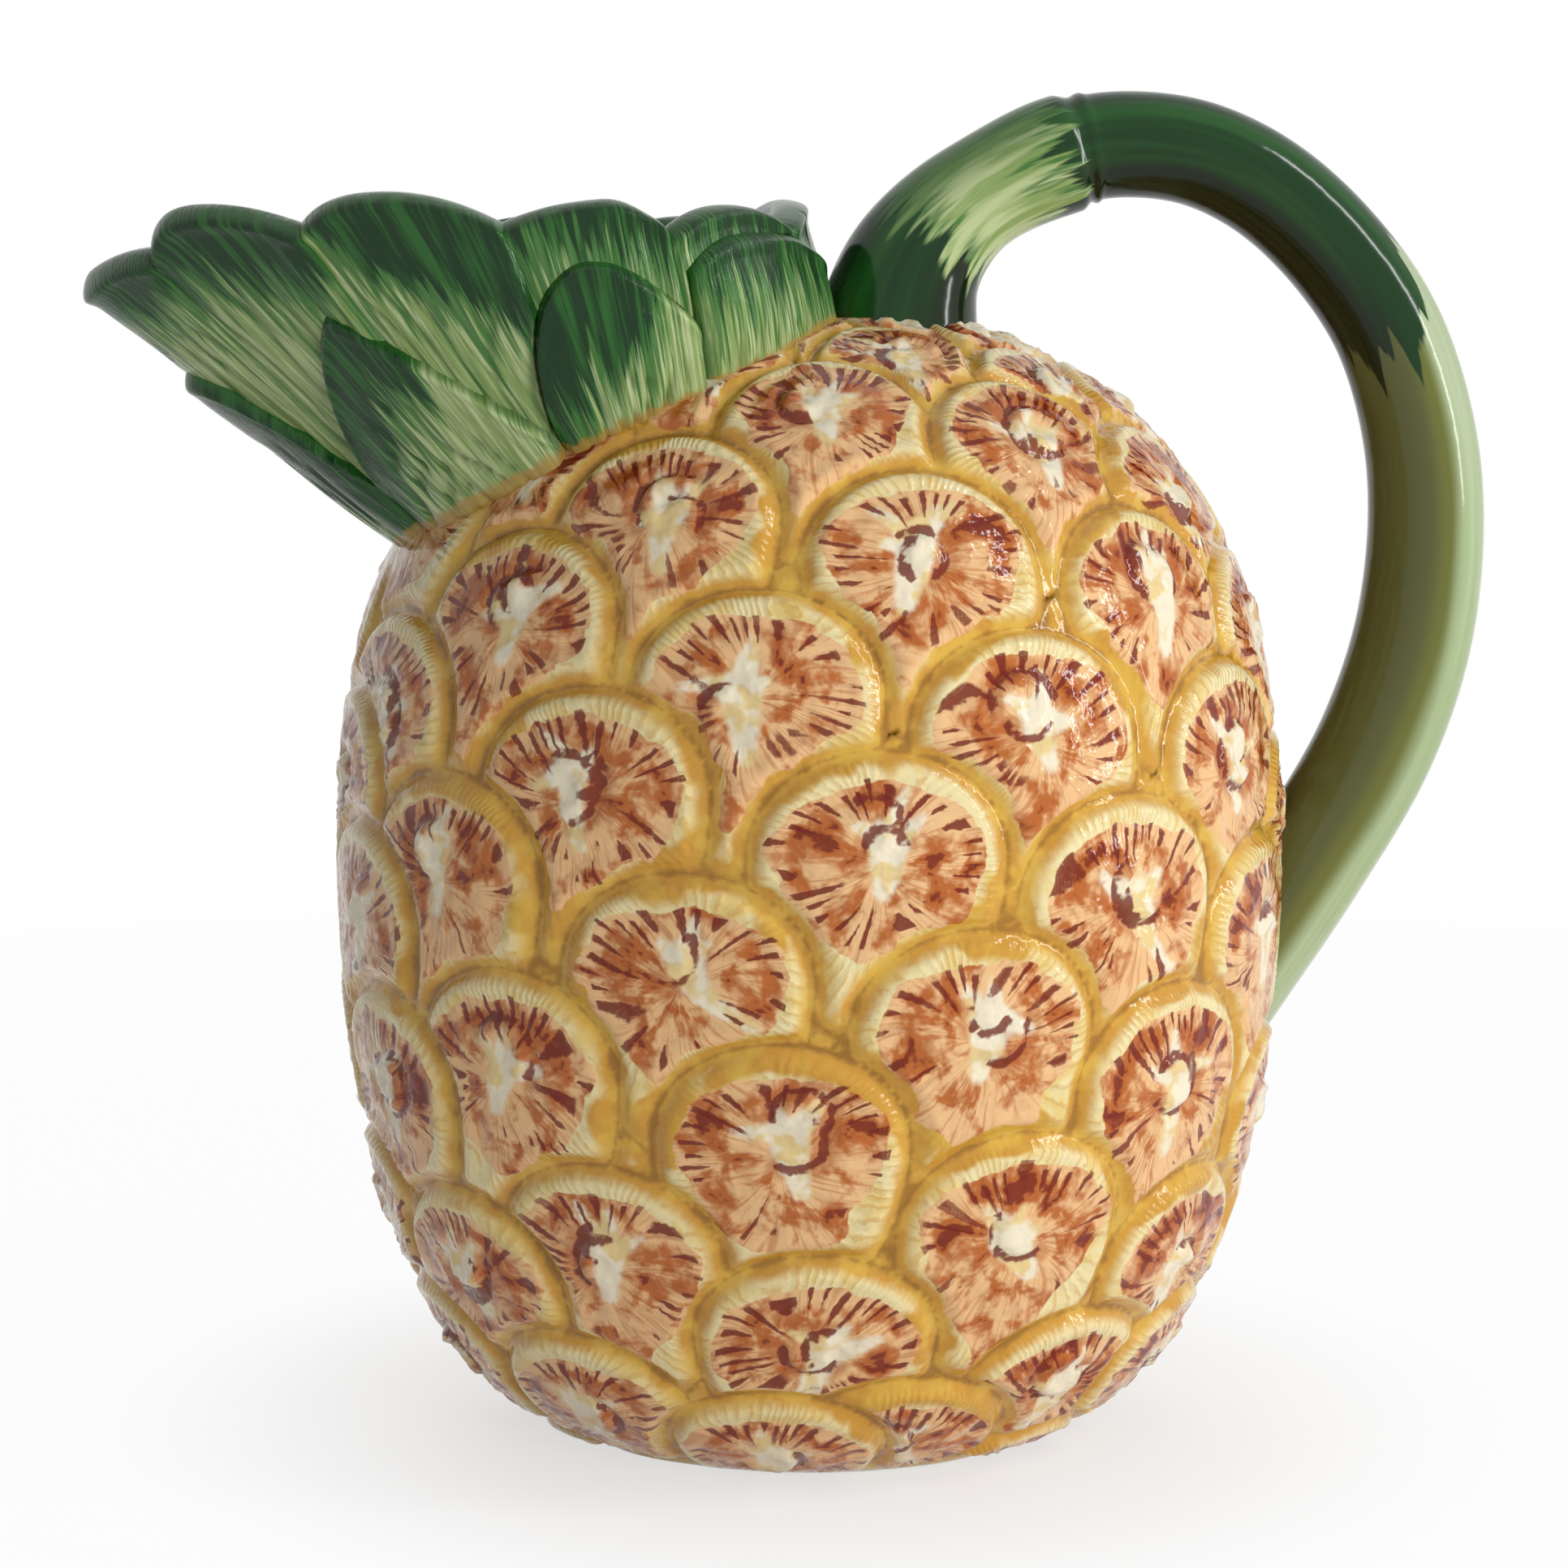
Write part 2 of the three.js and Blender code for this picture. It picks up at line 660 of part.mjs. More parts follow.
addPiece('body', bodyGeometry(), '#d9a35c', 0.2);
addPiece('crown_collar', collarGeometry(), '#dfe0b4', 0.2);
for (const leaf of allRim) addPiece(leaf.name, rimLeafGeometry(leaf), '#2f5b2a', 0.18);
for (const leaf of allLower) addPiece(leaf.name, lowerLeafGeometry(leaf), '#6d8a4e', 0.2);
addPiece('handle', handleGeometry(), '#4f7a3f', 0.18);

export default jug;
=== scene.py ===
"""Glazed earthenware pineapple jug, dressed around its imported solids."""

import math
import random
from types import SimpleNamespace

import bpy
import numpy as np
from bpy.props import FloatProperty, FloatVectorProperty, IntProperty, PointerProperty
from mathutils import Matrix, Vector, noise


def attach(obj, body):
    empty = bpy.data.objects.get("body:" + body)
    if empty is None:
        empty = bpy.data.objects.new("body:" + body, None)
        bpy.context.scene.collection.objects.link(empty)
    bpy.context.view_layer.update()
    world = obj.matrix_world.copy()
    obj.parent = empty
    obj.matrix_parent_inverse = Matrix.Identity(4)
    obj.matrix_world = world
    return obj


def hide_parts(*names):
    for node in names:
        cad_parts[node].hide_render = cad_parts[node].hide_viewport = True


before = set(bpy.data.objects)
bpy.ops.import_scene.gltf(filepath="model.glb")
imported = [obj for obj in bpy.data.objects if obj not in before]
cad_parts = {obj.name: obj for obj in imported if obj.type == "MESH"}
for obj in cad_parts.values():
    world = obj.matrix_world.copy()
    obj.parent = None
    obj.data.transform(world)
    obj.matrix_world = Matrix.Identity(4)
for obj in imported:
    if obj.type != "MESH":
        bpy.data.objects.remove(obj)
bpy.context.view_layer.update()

bl_info = {
    "name": "Pineapple Jug",
    "version": (1, 0, 0),
    "blender": (4, 5, 0),
    "location": "3D View > Sidebar > Jug",
    "description": "Models a glazed earthenware pineapple jug with a leaf crown and a cane handle",
    "category": "Object",
}

MM = 0.001
OUTLINE_STEPS = 8001

# Spiral of the fruitlets from the middle one: its direction and the turn to the next in degrees,
# its place up the body's outline and the rise to the next in millimetres, and how many follow
# each way
SPIRAL_START, SPIRAL_TURN = 267.8, 137.64
SPIRAL_RISE, SPIRAL_STEP = 130.7, 2.38
SPIRAL_REACH = 62

# Fruitlets of the visible side that sit off the even spiral: degrees round, millimetres up
FRUITLET_NUDGES = {
    0: (3, 1), 3: (4, 5), 5: (0, -1), 8: (1, 2), 10: (-5.5, -3.5), 11: (1, 5), 13: (-1, -2),
    16: (3, 4), 18: (-3.3, -4.5), 21: (0, 2), 24: (0, 2), 26: (-5, -2), 29: (3, 5), 31: (0, -4),
    34: (-2, 1.4), 42: (-1, 0), -3: (0, 1), -5: (3, 3), -8: (1.5, -1), -10: (1, 3), -11: (0, 8),
    -13: (4, 1), -16: (-1, -1), -18: (1.2, -0.5), -21: (2, 1), -24: (-5, 10), -26: (0, -4.5),
    -29: (0, -3.3), -31: (-0.6, -5), -34: (-4.4, -6.5), -37: (-3, 7), -39: (3, -10),
    -42: (-20, -7), -47: (-1, -2), -50: (0, -24), -52: (0, -9), -55: (-0.6, 14),
}

# One fruitlet: half its width at the belly in degrees, its height over and under its middle in
# millimetres, and how many pleats and bead ribs go round it
HALF_WIDTH = 15.3
TOP_HALF = 18.3
TAIL_HALF = 32.0
PLEATS = 27
BEAD_RIBS = 61

# Height of the body's skin over its turned outline, by distance from the groove, millimetres
RELIEF_PROFILE = (
    (-4.0, -0.3), (-2.0, -0.7), (0.0, -1.7), (0.9, -1.25), (2.0, 0.1), (3.1, 0.7), (4.2, 0.45),
    (5.2, 0.15), (8.0, 0.45), (13.0, 0.95), (20.0, 1.15),
)

# Underside of the foot from the middle outwards: radius and height, millimetres
FOOT_PROFILE = (
    (0.0, 1.8), (9.0, 1.8), (18.0, 1.8), (27.0, 1.8), (33.0, 1.75), (35.0, 1.4), (36.2, 0.7),
    (37.2, 0.15), (38.5, 0.0), (41.0, 0.0), (43.2, 0.0), (44.5, 0.08),
)

# Middle line of the cane as shares of the way out from its root and up from its foot
CANE_PATH = (
    (0, 0.753), (0.004, 0.818), (0.035, 0.875), (0.11, 0.929), (0.226, 0.971), (0.348, 0.996),
    (0.452, 1), (0.564, 0.989), (0.686, 0.954), (0.81, 0.89), (0.916, 0.804), (0.979, 0.699),
    (1, 0.592), (0.979, 0.461), (0.909, 0.338), (0.79, 0.217), (0.625, 0.073), (0.541, 0),
)

# Cane: its root's distance past the rim, its foot's height, and its node's place along it
CANE_ROOT = 20
CANE_FOOT = 65.5
CANE_NODE = 56

# Lower leaves: directions of one side, the tip and the other side in degrees, reach there as a
# share of the crown wall, shoulder of the outline, fullness, and the dark tip: its depth, and its
# middle and half width across the leaf
LOWER_LEAVES = {
    "under_spout_leaf": ((-24, 0, 24), (0.16, 0.71, 0.16), 2.4, 1.3, (36, 0, 1.15)),
    "lower_leaf_left_1": ((24, 50, 72), (0.12, 0.74, 0.08), 1.15, 1.0, (20, -0.3, 0.7)),
    "lower_leaf_left_2": ((72, 87.5, 109), (0.08, 0.92, 0.42), 1.8, 1.0, (19, -0.3, 0.75)),
    "lower_leaf_left_3": ((109, 132, 162), (0.84, 1.06, 0.6), 3.0, 0.8, (9, 0.2, 1.3)),
}

# Rim leaves: the directions they span, how far their sides and middle stand over the crown wall
# as shares of the tallest, and the dark tip as for the lower leaves
RIM_LEAVES = {
    "spout_leaf": (-27, 27, (0.05, 0.4, 0.05), (12, 0.2, 1.3)),
    "rim_leaf_left_1": (27, 55, (-0.05, 0.84, 0.3), (15, 0.15, 1.15)),
    "rim_leaf_left_2": (55, 79, (0.3, 1, 0.3), (20, 0.4, 1.2)),
    "rim_leaf_left_3": (79, 106, (0.3, 0.75, 0.2), (9, 0.2, 1.3)),
    "rim_leaf_left_4": (106, 150, (0.12, 0.63, 0.06), (9, 0.2, 1.3)),
    "rim_leaf_back": (150, 210, (0.2, 0.6, 0.2), (10, 0, 1.3)),
}
FAR_RISE_SHARE = 0.6

# Build of the leaves in millimetres: thickness over the crown wall at the edge and in the middle,
# the rounding between the two, the inner face, the lip under the tip, the furrows' depth, the
# strip under the tip that has none, and how far the inner face curls back at the rim
RIM_BUILD = {"edge": 2.3, "full": 3.6, "pad": 6.5, "inner": 0.3, "lip": 1.1, "furrow": 0.6,
             "bare": 10, "curl": 3.6}
LOWER_BUILD = {"edge": 2.6, "pad": 7.5, "inner": 0.2, "lip": 0.9, "furrow": 1.1, "bare": 11,
               "curl": 0}

# Foot of the leaves as a share of the crown wall, just under it
LEAF_FOOT = -0.04

# Millimetres from one furrow to the next, and along the neck for each degree round it
FURROW_SPACING = 3.9
NECK_DEGREE = 0.72


def tone(code):
    """Linear colour with full alpha from a six-digit code."""
    values = []
    for start in (1, 3, 5):
        value = int(code[start:start + 2], 16) / 255
        values.append(value / 12.92 if value <= 0.04045 else ((value + 0.055) / 1.055) ** 2.4)
    return (*values, 1.0)


def length_setting(name, description, millimetres):
    """A length in the panel."""
    return FloatProperty(
        name=name, description=description, default=millimetres * MM, precision=4, unit="LENGTH"
    )


def colour_setting(name, description, code):
    """A colour in the panel."""
    return FloatVectorProperty(
        name=name, description=description, default=tone(code), size=4, min=0, max=1,
        subtype="COLOR",
    )


class JugSizes(bpy.types.PropertyGroup):
    """Main sizes of the jug"""

    belly_radius: length_setting("Belly radius", "Widest radius of the body", 86)
    belly_height: length_setting("Belly height", "Height of the widest part", 101)
    dome_height: length_setting("Dome height", "Height of the body's top", 203.2)
    foot_drop: length_setting("Foot drop", "How far under the foot the outline would close", 3.5)
    wall: length_setting("Wall", "Thickness of the body's wall", 5)
    floor: length_setting("Floor", "Thickness of the floor inside", 8)
    neck_centre: length_setting("Neck centre", "Place of the neck ring along the jug", -36)
    neck_half_length: length_setting("Neck half length", "Half the neck ring, along", 39.8)
    neck_half_width: length_setting("Neck half width", "Half the neck ring, across", 43)
    rim_centre: length_setting("Rim centre", "Place of the rim's middle along the jug", -41)
    rim_back: length_setting("Rim back", "Reach of the rim towards the handle", 37)
    rim_half_width: length_setting("Rim half width", "Half the width of the rim", 44)
    rim_over_dome: length_setting("Rim over dome", "Height of the rim over the dome", 14.8)
    spout_reach: length_setting("Spout reach", "Reach of the rim towards the spout", 85)
    collar_wall: length_setting("Collar wall", "Thickness of the crown wall", 4)
    leaf_rise: length_setting("Leaf rise", "Rise of the tallest rim leaf", 10)
    handle_stand_off: length_setting("Handle stand-off", "Handle's reach past the belly", 28.9)
    handle_rise: length_setting("Handle rise", "Handle's middle line over the dome", 30.3)
    handle_radius: length_setting("Handle radius", "Radius of the cane at its top", 9.6)


class JugFineness(bpy.types.PropertyGroup):
    """Mesh fineness of the pieces"""

    body_columns: IntProperty(name="Body columns", description="Columns round the body", default=376)
    body_rows: IntProperty(name="Body rows", description="Rows up the body", default=252)
    leaf_columns: IntProperty(name="Leaf columns", description="Columns across a leaf", default=56)
    leaf_rows: IntProperty(name="Leaf rows", description="Rows up a leaf", default=52)
    cane_sides: IntProperty(name="Cane sides", description="Columns round the cane", default=72)
    cane_rings: IntProperty(name="Cane rings", description="Rings along the cane", default=420)


class JugColours(bpy.types.PropertyGroup):
    """Glaze colours of the jug"""

    groove: colour_setting("Groove", "Amber glaze in the grooves", "#cc983a")
    groove_deep: colour_setting("Deep groove", "Where the amber pools", "#83561a")
    cream: colour_setting("Cream", "Ground glaze of the borders", "#ebdba6")
    butter: colour_setting("Butter", "Yellow tint on the borders", "#dfb94e")
    wash: colour_setting("Wash", "Thin brown over cream", "#eabd88")
    russet: colour_setting("Russet", "Thicker brown", "#b8652a")
    stroke: colour_setting("Stroke", "Brown brush strokes", "#741802")
    heart: colour_setting("Heart", "Middle of a fruitlet", "#eee3c8")
    inside: colour_setting("Inside", "Glaze inside the jug", "#e9e2c4")
    bisque: colour_setting("Bisque", "Bare clay under the foot", "#d9c8ae")
    pale_leaf: colour_setting("Pale leaf", "Foot of the leaves", "#b6c48f")
    sage: colour_setting("Sage", "Streaks on the leaves", "#86a05c")
    rib: colour_setting("Rib", "Furrows of the leaves", "#526c36")
    leaf: colour_setting("Leaf", "Middle green", "#2a6826")
    bottle: colour_setting("Bottle", "Dark leaf tips", "#0c3411")
    slip: colour_setting("Slip", "Line where the leaves join the body", "#a8863f")
    # Olive and moss, towards the inner side of the cane's bend, are partly the glaze's own colours
    # and partly painted shade
    olive: colour_setting("Olive", "Shade side of the cane", "#565b30")
    moss: colour_setting("Moss", "Band between olive and sage", "#656a2e")
    # Shade is painted shade, laid on the dark green parts of the cane towards the inner side of its
    # bend
    shade: colour_setting("Shade", "Darkest glaze, inside the bend of the cane", "#161c0c")
    celadon: colour_setting("Celadon", "Outer side of the cane's lower half", "#aebc98")


class JugShape:
    """Surfaces of the jug in millimetres, from the sizes in the panel."""

    dome_roundness = 2.5
    foot_sharpness = 0.238
    spout_roundness = 22
    spout_tip_drop = 9.3
    spout_tip_spread = 24
    rim_far_drop = 2
    crown_belly = 3
    leaf_band = 3.2

    def __init__(self, sizes):
        for name in JugSizes.__annotations__:
            setattr(self, name, getattr(sizes, name) / MM)
        angle = np.linspace(0, math.pi, OUTLINE_STEPS)
        self.outline_z = self.dome_height * (1 - np.cos(angle)) / 2
        self.outline_r = self.wall_radius(self.outline_z, self.belly_radius, self.dome_height, 0)
        step = np.hypot(np.diff(self.outline_z), np.diff(self.outline_r))
        self.outline_s = np.concatenate([[0], np.cumsum(step)])
        self.outline_length = self.outline_s[-1]

    def wall_radius(self, z, belly, top, bottom):
        """Radius of an egg-shaped wall at a height."""
        up = np.clip((z - self.belly_height) / (top - self.belly_height), 0, 1)
        down = (self.belly_height - z) / (self.belly_height - bottom + self.foot_drop)
        down = np.clip(down, 0, 1)
        over = belly * (1 - up ** self.dome_roundness) ** (1 / self.dome_roundness)
        under = belly * (1 - down ** 2) ** self.foot_sharpness
        return np.where(z >= self.belly_height, over, under)

    def outline_at(self, s):
        """Radius, height and outward normal of the outline at a distance from the foot."""
        reach = 0.8
        low = np.clip(s - reach, 0, self.outline_length)
        high = np.clip(s + reach, 0, self.outline_length)
        r, z = (np.interp(s, self.outline_s, v) for v in (self.outline_r, self.outline_z))
        run = [np.interp(high, self.outline_s, v) - np.interp(low, self.outline_s, v)
               for v in (self.outline_r, self.outline_z)]
        size = np.hypot(*run)
        return r, z, run[1] / size, -run[0] / size

    def distance_along(self, r, z):
        """Distance along the outline of points on it."""
        low = np.interp(z, self.outline_z, self.outline_s)
        belly = np.argmax(self.outline_r)
        fall_r = self.outline_r[belly:][::-1]
        high = np.interp(r, fall_r, self.outline_s[belly:][::-1])
        return np.where(z > 0.75 * self.dome_height, high, low)

    def dome_z(self, x, y):
        """Height of the dome over a point of the plan."""
        share = np.minimum(np.hypot(x, y) / self.belly_radius, 1)
        rise = (1 - share ** self.dome_roundness) ** (1 / self.dome_roundness)
        return self.belly_height + (self.dome_height - self.belly_height) * rise

    def neck_share(self, x, y):
        """How far out of the neck ring a point of the plan lies, 1 on the ring."""
        return np.hypot((x - self.neck_centre) / self.neck_half_length, y / self.neck_half_width)

    def neck_point(self, deg):
        """Point of the neck ring at a direction, 0 towards the spout."""
        turn = np.radians(deg)
        x = self.neck_centre - (self.neck_half_length - self.leaf_band) * np.cos(turn)
        y = -(self.neck_half_width - self.leaf_band) * np.sin(turn)
        return np.stack([x, y, self.dome_z(x, y)], -1)

    def rim_point(self, deg):
        """Point of the rim at a direction, 0 at the spout's tip."""
        forward, side = np.cos(np.radians(deg)), np.sin(np.radians(deg))
        tip_drop = self.spout_tip_drop * np.exp(-(half_turn(deg) / self.spout_tip_spread) ** 2)
        far = smooth(-side, 0, 1)
        z = self.dome_height + self.rim_over_dome - tip_drop - self.rim_far_drop * far
        back = forward < 0
        x = self.rim_centre - np.where(back, self.rim_back, self.spout_reach) * forward
        flank = (self.rim_half_width - self.spout_roundness) * np.cos(math.pi / 2 * forward)
        front_y = -(np.sign(side) * flank + self.spout_roundness * side)
        y = np.where(back, -self.rim_half_width * side, front_y)
        return np.stack([x, y, z], -1)

    def wall_face(self, deg, t):
        """Outer face of the crown wall, 0 at the neck and 1 at the rim."""
        foot, rim = self.neck_point(deg), self.rim_point(deg)
        turn = np.radians(deg)
        out = np.stack([-np.cos(turn), -np.sin(turn), np.zeros_like(turn)], -1)
        middle = (foot + rim) / 2 + out * (self.crown_belly * np.sin(turn) ** 2)[..., None]
        t = t[..., None]
        return foot * (1 - t) ** 2 + middle * 2 * t * (1 - t) + rim * t ** 2

    def crown_point(self, deg, t, offset):
        """Point at an offset outside the crown wall."""
        step = 0.5
        around = self.wall_face(deg + step, t) - self.wall_face(deg - step, t)
        up = self.wall_face(deg, t + step / 10) - self.wall_face(deg, t - step / 10)
        normal = np.cross(around, up)
        normal /= np.linalg.norm(normal, axis=-1, keepdims=True)
        return self.wall_face(deg, t) + normal * offset[..., None]

    def wall_length(self, deg, t):
        """Millimetres along the crown wall per unit of its share."""
        step = 0.02
        run = self.wall_face(deg, t + step) - self.wall_face(deg, t)
        return np.linalg.norm(run, axis=-1) / step


def smooth(value, start, end):
    """Rise smoothly from 0 at start to 1 at end."""
    share = np.clip((value - start) / (end - start), 0, 1)
    return share * share * (3 - 2 * share)


def half_turn(deg):
    """The same direction between -180 and 180 degrees."""
    return (deg + 180) % 360 - 180


def round_places(radius, turn, z):
    """Points at a radius and a turn in radians about the upright axis."""
    return np.stack([radius * np.cos(turn), radius * np.sin(turn), z], -1)


def rounded_table(stops, spread):
    """A table between stops with its corners rounded off."""
    at = np.arange(stops[0][0] - 3 * spread, stops[-1][0] + 3 * spread, 0.05)
    height = np.interp(at, *zip(*stops))
    reach = np.arange(-3 * spread, 3 * spread, 0.05)
    weight = np.exp(-(reach / spread) ** 2)
    padded = np.pad(height, len(reach) // 2, mode="edge")
    return at, np.convolve(padded, weight / weight.sum(), "valid")[:len(at)]


def select_only(piece):
    bpy.ops.object.select_all(action="DESELECT")
    piece.select_set(True)
    bpy.context.view_layer.objects.active = piece


def vertex_places(piece):
    """Vertex places in millimetres."""
    flat = np.empty(len(piece.data.vertices) * 3)
    piece.data.vertices.foreach_get("co", flat)
    return flat.reshape(-1, 3) / MM


def move_vertices(piece, places):
    piece.data.vertices.foreach_set("co", (places * MM).ravel())
    piece.data.update()


def store(piece, name, values, domain="POINT"):
    """Keep values on the mesh for the glaze to read."""
    if values.ndim == 1:
        layer = piece.data.attributes.new(name, "FLOAT", domain)
        layer.data.foreach_set("value", values.astype(np.float32))
    else:
        layer = piece.data.attributes.new(name, "FLOAT_VECTOR", domain)
        layer.data.foreach_set("vector", values.astype(np.float32).ravel())


def close_seams(piece):
    """Merge doubled points and turn the faces outwards."""
    select_only(piece)
    bpy.ops.object.mode_set(mode="EDIT")
    bpy.ops.mesh.select_all(action="SELECT")
    bpy.ops.mesh.remove_doubles(threshold=0.00001)
    bpy.ops.mesh.normals_make_consistent(inside=False)
    bpy.ops.object.mode_set(mode="OBJECT")


def add_primitive(name, add, **settings):
    """A new primitive, with nothing else selected."""
    bpy.ops.object.select_all(action="DESELECT")
    add(**settings)
    piece = bpy.context.object
    piece.name = name
    return piece


def grid_piece(name, columns, rows):
    """A flat grid to shape, from -1 to 1 across and up."""
    return add_primitive(name, bpy.ops.mesh.primitive_grid_add, x_subdivisions=columns,
                         y_subdivisions=rows, size=2)


def grid_shares(piece):
    """Places of a grid's points across and up, from 0 to 1."""
    places = vertex_places(piece) * MM
    return (places[:, 0] + 1) / 2, (places[:, 1] + 1) / 2


def apply_modifier(piece, kind, **settings):
    select_only(piece)
    bpy.ops.object.modifier_add(type=kind)
    modifier = piece.modifiers[-1]
    for name, value in settings.items():
        setattr(modifier, name, value)
    bpy.ops.object.modifier_apply(modifier=modifier.name)


def cut_away(piece, cutter):
    """Take the cutter out of the piece and remove it."""
    apply_modifier(piece, "BOOLEAN", operation="DIFFERENCE", solver="EXACT", object=cutter)
    bpy.data.meshes.remove(cutter.data)


def finish_piece(piece, node, glaze):
    """Smooth and glaze a piece, hang it on the root and hide the solid it stands for."""
    select_only(piece)
    bpy.ops.object.shade_smooth()
    piece.data.materials.clear()
    piece.data.materials.append(glaze)
    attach(piece, "root")
    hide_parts(node)


class NodeWiring:
    """Adds nodes to one tree and wires them as they are made."""

    def __init__(self, tree):
        self.tree = tree

    def add(self, kind, **settings):
        node = self.tree.nodes.new(kind)
        for name, value in settings.items():
            setattr(node, name, value)
        return node

    def feed(self, socket, value):
        """Link a socket to another, or set it to a constant."""
        if isinstance(value, bpy.types.NodeSocket):
            self.tree.links.new(value, socket)
        else:
            socket.default_value = value

    def fed(self, kind, values, **settings):
        """A new node with its first sockets fed."""
        node = self.add(kind, **settings)
        for socket, value in zip(node.inputs, values):
            self.feed(socket, value)
        return node

    def math(self, operation, *values):
        return self.fed("ShaderNodeMath", values, operation=operation).outputs[0]

    def plus(self, first, second):
        return self.math("ADD", first, second)

    def minus(self, first, second):
        return self.math("SUBTRACT", first, second)

    def times(self, first, second):
        return self.math("MULTIPLY", first, second)

    def scaled(self, value, factor, start):
        """The value times a factor, plus a start."""
        return self.math("MULTIPLY_ADD", value, factor, start)

    def centred(self, value, size):
        """A noise from 0 to 1 as a swing of that size about 0."""
        return self.times(self.minus(value, 0.5), size)

    def vector(self, operation, *values):
        node = self.fed("ShaderNodeVectorMath", values, operation=operation)
        return node.outputs["Value" if operation == "LENGTH" else "Vector"]

    def join(self, x, y, z):
        return self.fed("ShaderNodeCombineXYZ", (x, y, z)).outputs[0]

    def split(self, vector):
        return self.fed("ShaderNodeSeparateXYZ", (vector,)).outputs

    def attribute(self, name, output="Fac"):
        return self.add("ShaderNodeAttribute", attribute_name=name).outputs[output]

    def place(self):
        """Object coordinates in millimetres."""
        source = self.add("ShaderNodeTexCoord").outputs["Object"]
        return self.vector("MULTIPLY", source, (1 / MM,) * 3)

    def step(self, value, start, end, low=0.0, high=1.0):
        """Go smoothly from low at start to high at end."""
        values = (value, start, end, low, high)
        return self.fed("ShaderNodeMapRange", values, interpolation_type="SMOOTHSTEP").outputs[0]

    def noise(self, place, scale=1.0, detail=2.0, roughness=0.5, distortion=0.0):
        node = self.add("ShaderNodeTexNoise")
        self.feed(node.inputs["Vector"], place)
        for name, value in (("Scale", scale), ("Detail", detail), ("Roughness", roughness),
                            ("Distortion", distortion)):
            self.feed(node.inputs[name], value)
        return node.outputs["Fac"]

    def mix(self, share, first, second):
        """Mix two colours, whose sockets stand behind those for numbers and vectors."""
        node = self.add("ShaderNodeMix", data_type="RGBA")
        for socket, value in zip((0, 6, 7), (share, first, second)):
            self.feed(node.inputs[socket], value)
        return node.outputs[2]

    def layer(self, base, colour, value, start, end, most=1.0):
        """Lay a colour over the base where a value goes from start to end."""
        return self.mix(self.step(value, start, end, 0.0, most), base, colour)

    def mix_shaders(self, share, first, second):
        return self.fed("ShaderNodeMixShader", (share, first, second)).outputs[0]

    def shown_rays(self):
        """1 for rays that see the background itself: straight, mirrored or passed through."""
        seen = self.add("ShaderNodeLightPath").outputs
        straight = self.math("MAXIMUM", seen["Is Camera Ray"], seen["Is Glossy Ray"])
        return self.math("MAXIMUM", straight, seen["Is Transmission Ray"])


class GlazeNodes(NodeWiring):
    """The nodes of one glaze."""

    refraction = 1.34

    def __init__(self, name):
        self.material = bpy.data.materials.new(name)
        self.material.use_nodes = True
        super().__init__(self.material.node_tree)
        self.shader = self.tree.nodes["Principled BSDF"]

    def glaze(self, colour, height, roughness=0.1, strength=0.4):
        """Set the shader's finish and feed it colour and relief."""
        self.feed(self.shader.inputs["Base Color"], colour)
        self.feed(self.shader.inputs["Roughness"], roughness)
        self.shader.inputs["IOR"].default_value = self.refraction
        bump = self.add("ShaderNodeBump")
        self.feed(bump.inputs["Strength"], strength)
        self.feed(bump.inputs["Distance"], MM)
        self.feed(bump.inputs["Height"], height)
        self.feed(self.shader.inputs["Normal"], bump.outputs[0])
        return self.material


def spiral_fruitlets(shape):
    """Fruitlets along their spiral: number, degrees round, rise, half width in degrees."""
    found = []
    for k in range(-SPIRAL_REACH, SPIRAL_REACH + 1):
        around, up = FRUITLET_NUDGES.get(k, (2 * math.sin(7 * k), 3 * math.sin(11 * k)))
        at = SPIRAL_RISE + SPIRAL_STEP * k + up
        radius = max(float(np.interp(at, shape.outline_s, shape.outline_r)), 8)
        width = HALF_WIDTH * (shape.belly_radius / radius) ** 0.6
        found.append((k, SPIRAL_START + SPIRAL_TURN * k + around, at, width))
    return sorted(found, key=lambda fruitlet: fruitlet[2])


def brown_patch(x, y, number, half, depth, lean, below):
    """Depth in the brown patch of a fruitlet: round above, and a leaning tail below."""
    border, tail_top, tail_length = 4, 2, 27
    fall = np.clip((tail_top - y) / tail_length, 0, 1)
    skew = 5 * math.sin(2.3 * number + 1) * fall ** 2
    taper = 0.8 * ((half - border) * (1 - fall ** 1.6) - np.abs(x - skew))
    inner = np.minimum(depth - (3.3 + 1.9 * lean ** 2), below - 2.0)
    return np.minimum(inner, np.where(y < tail_top, taper, 99))


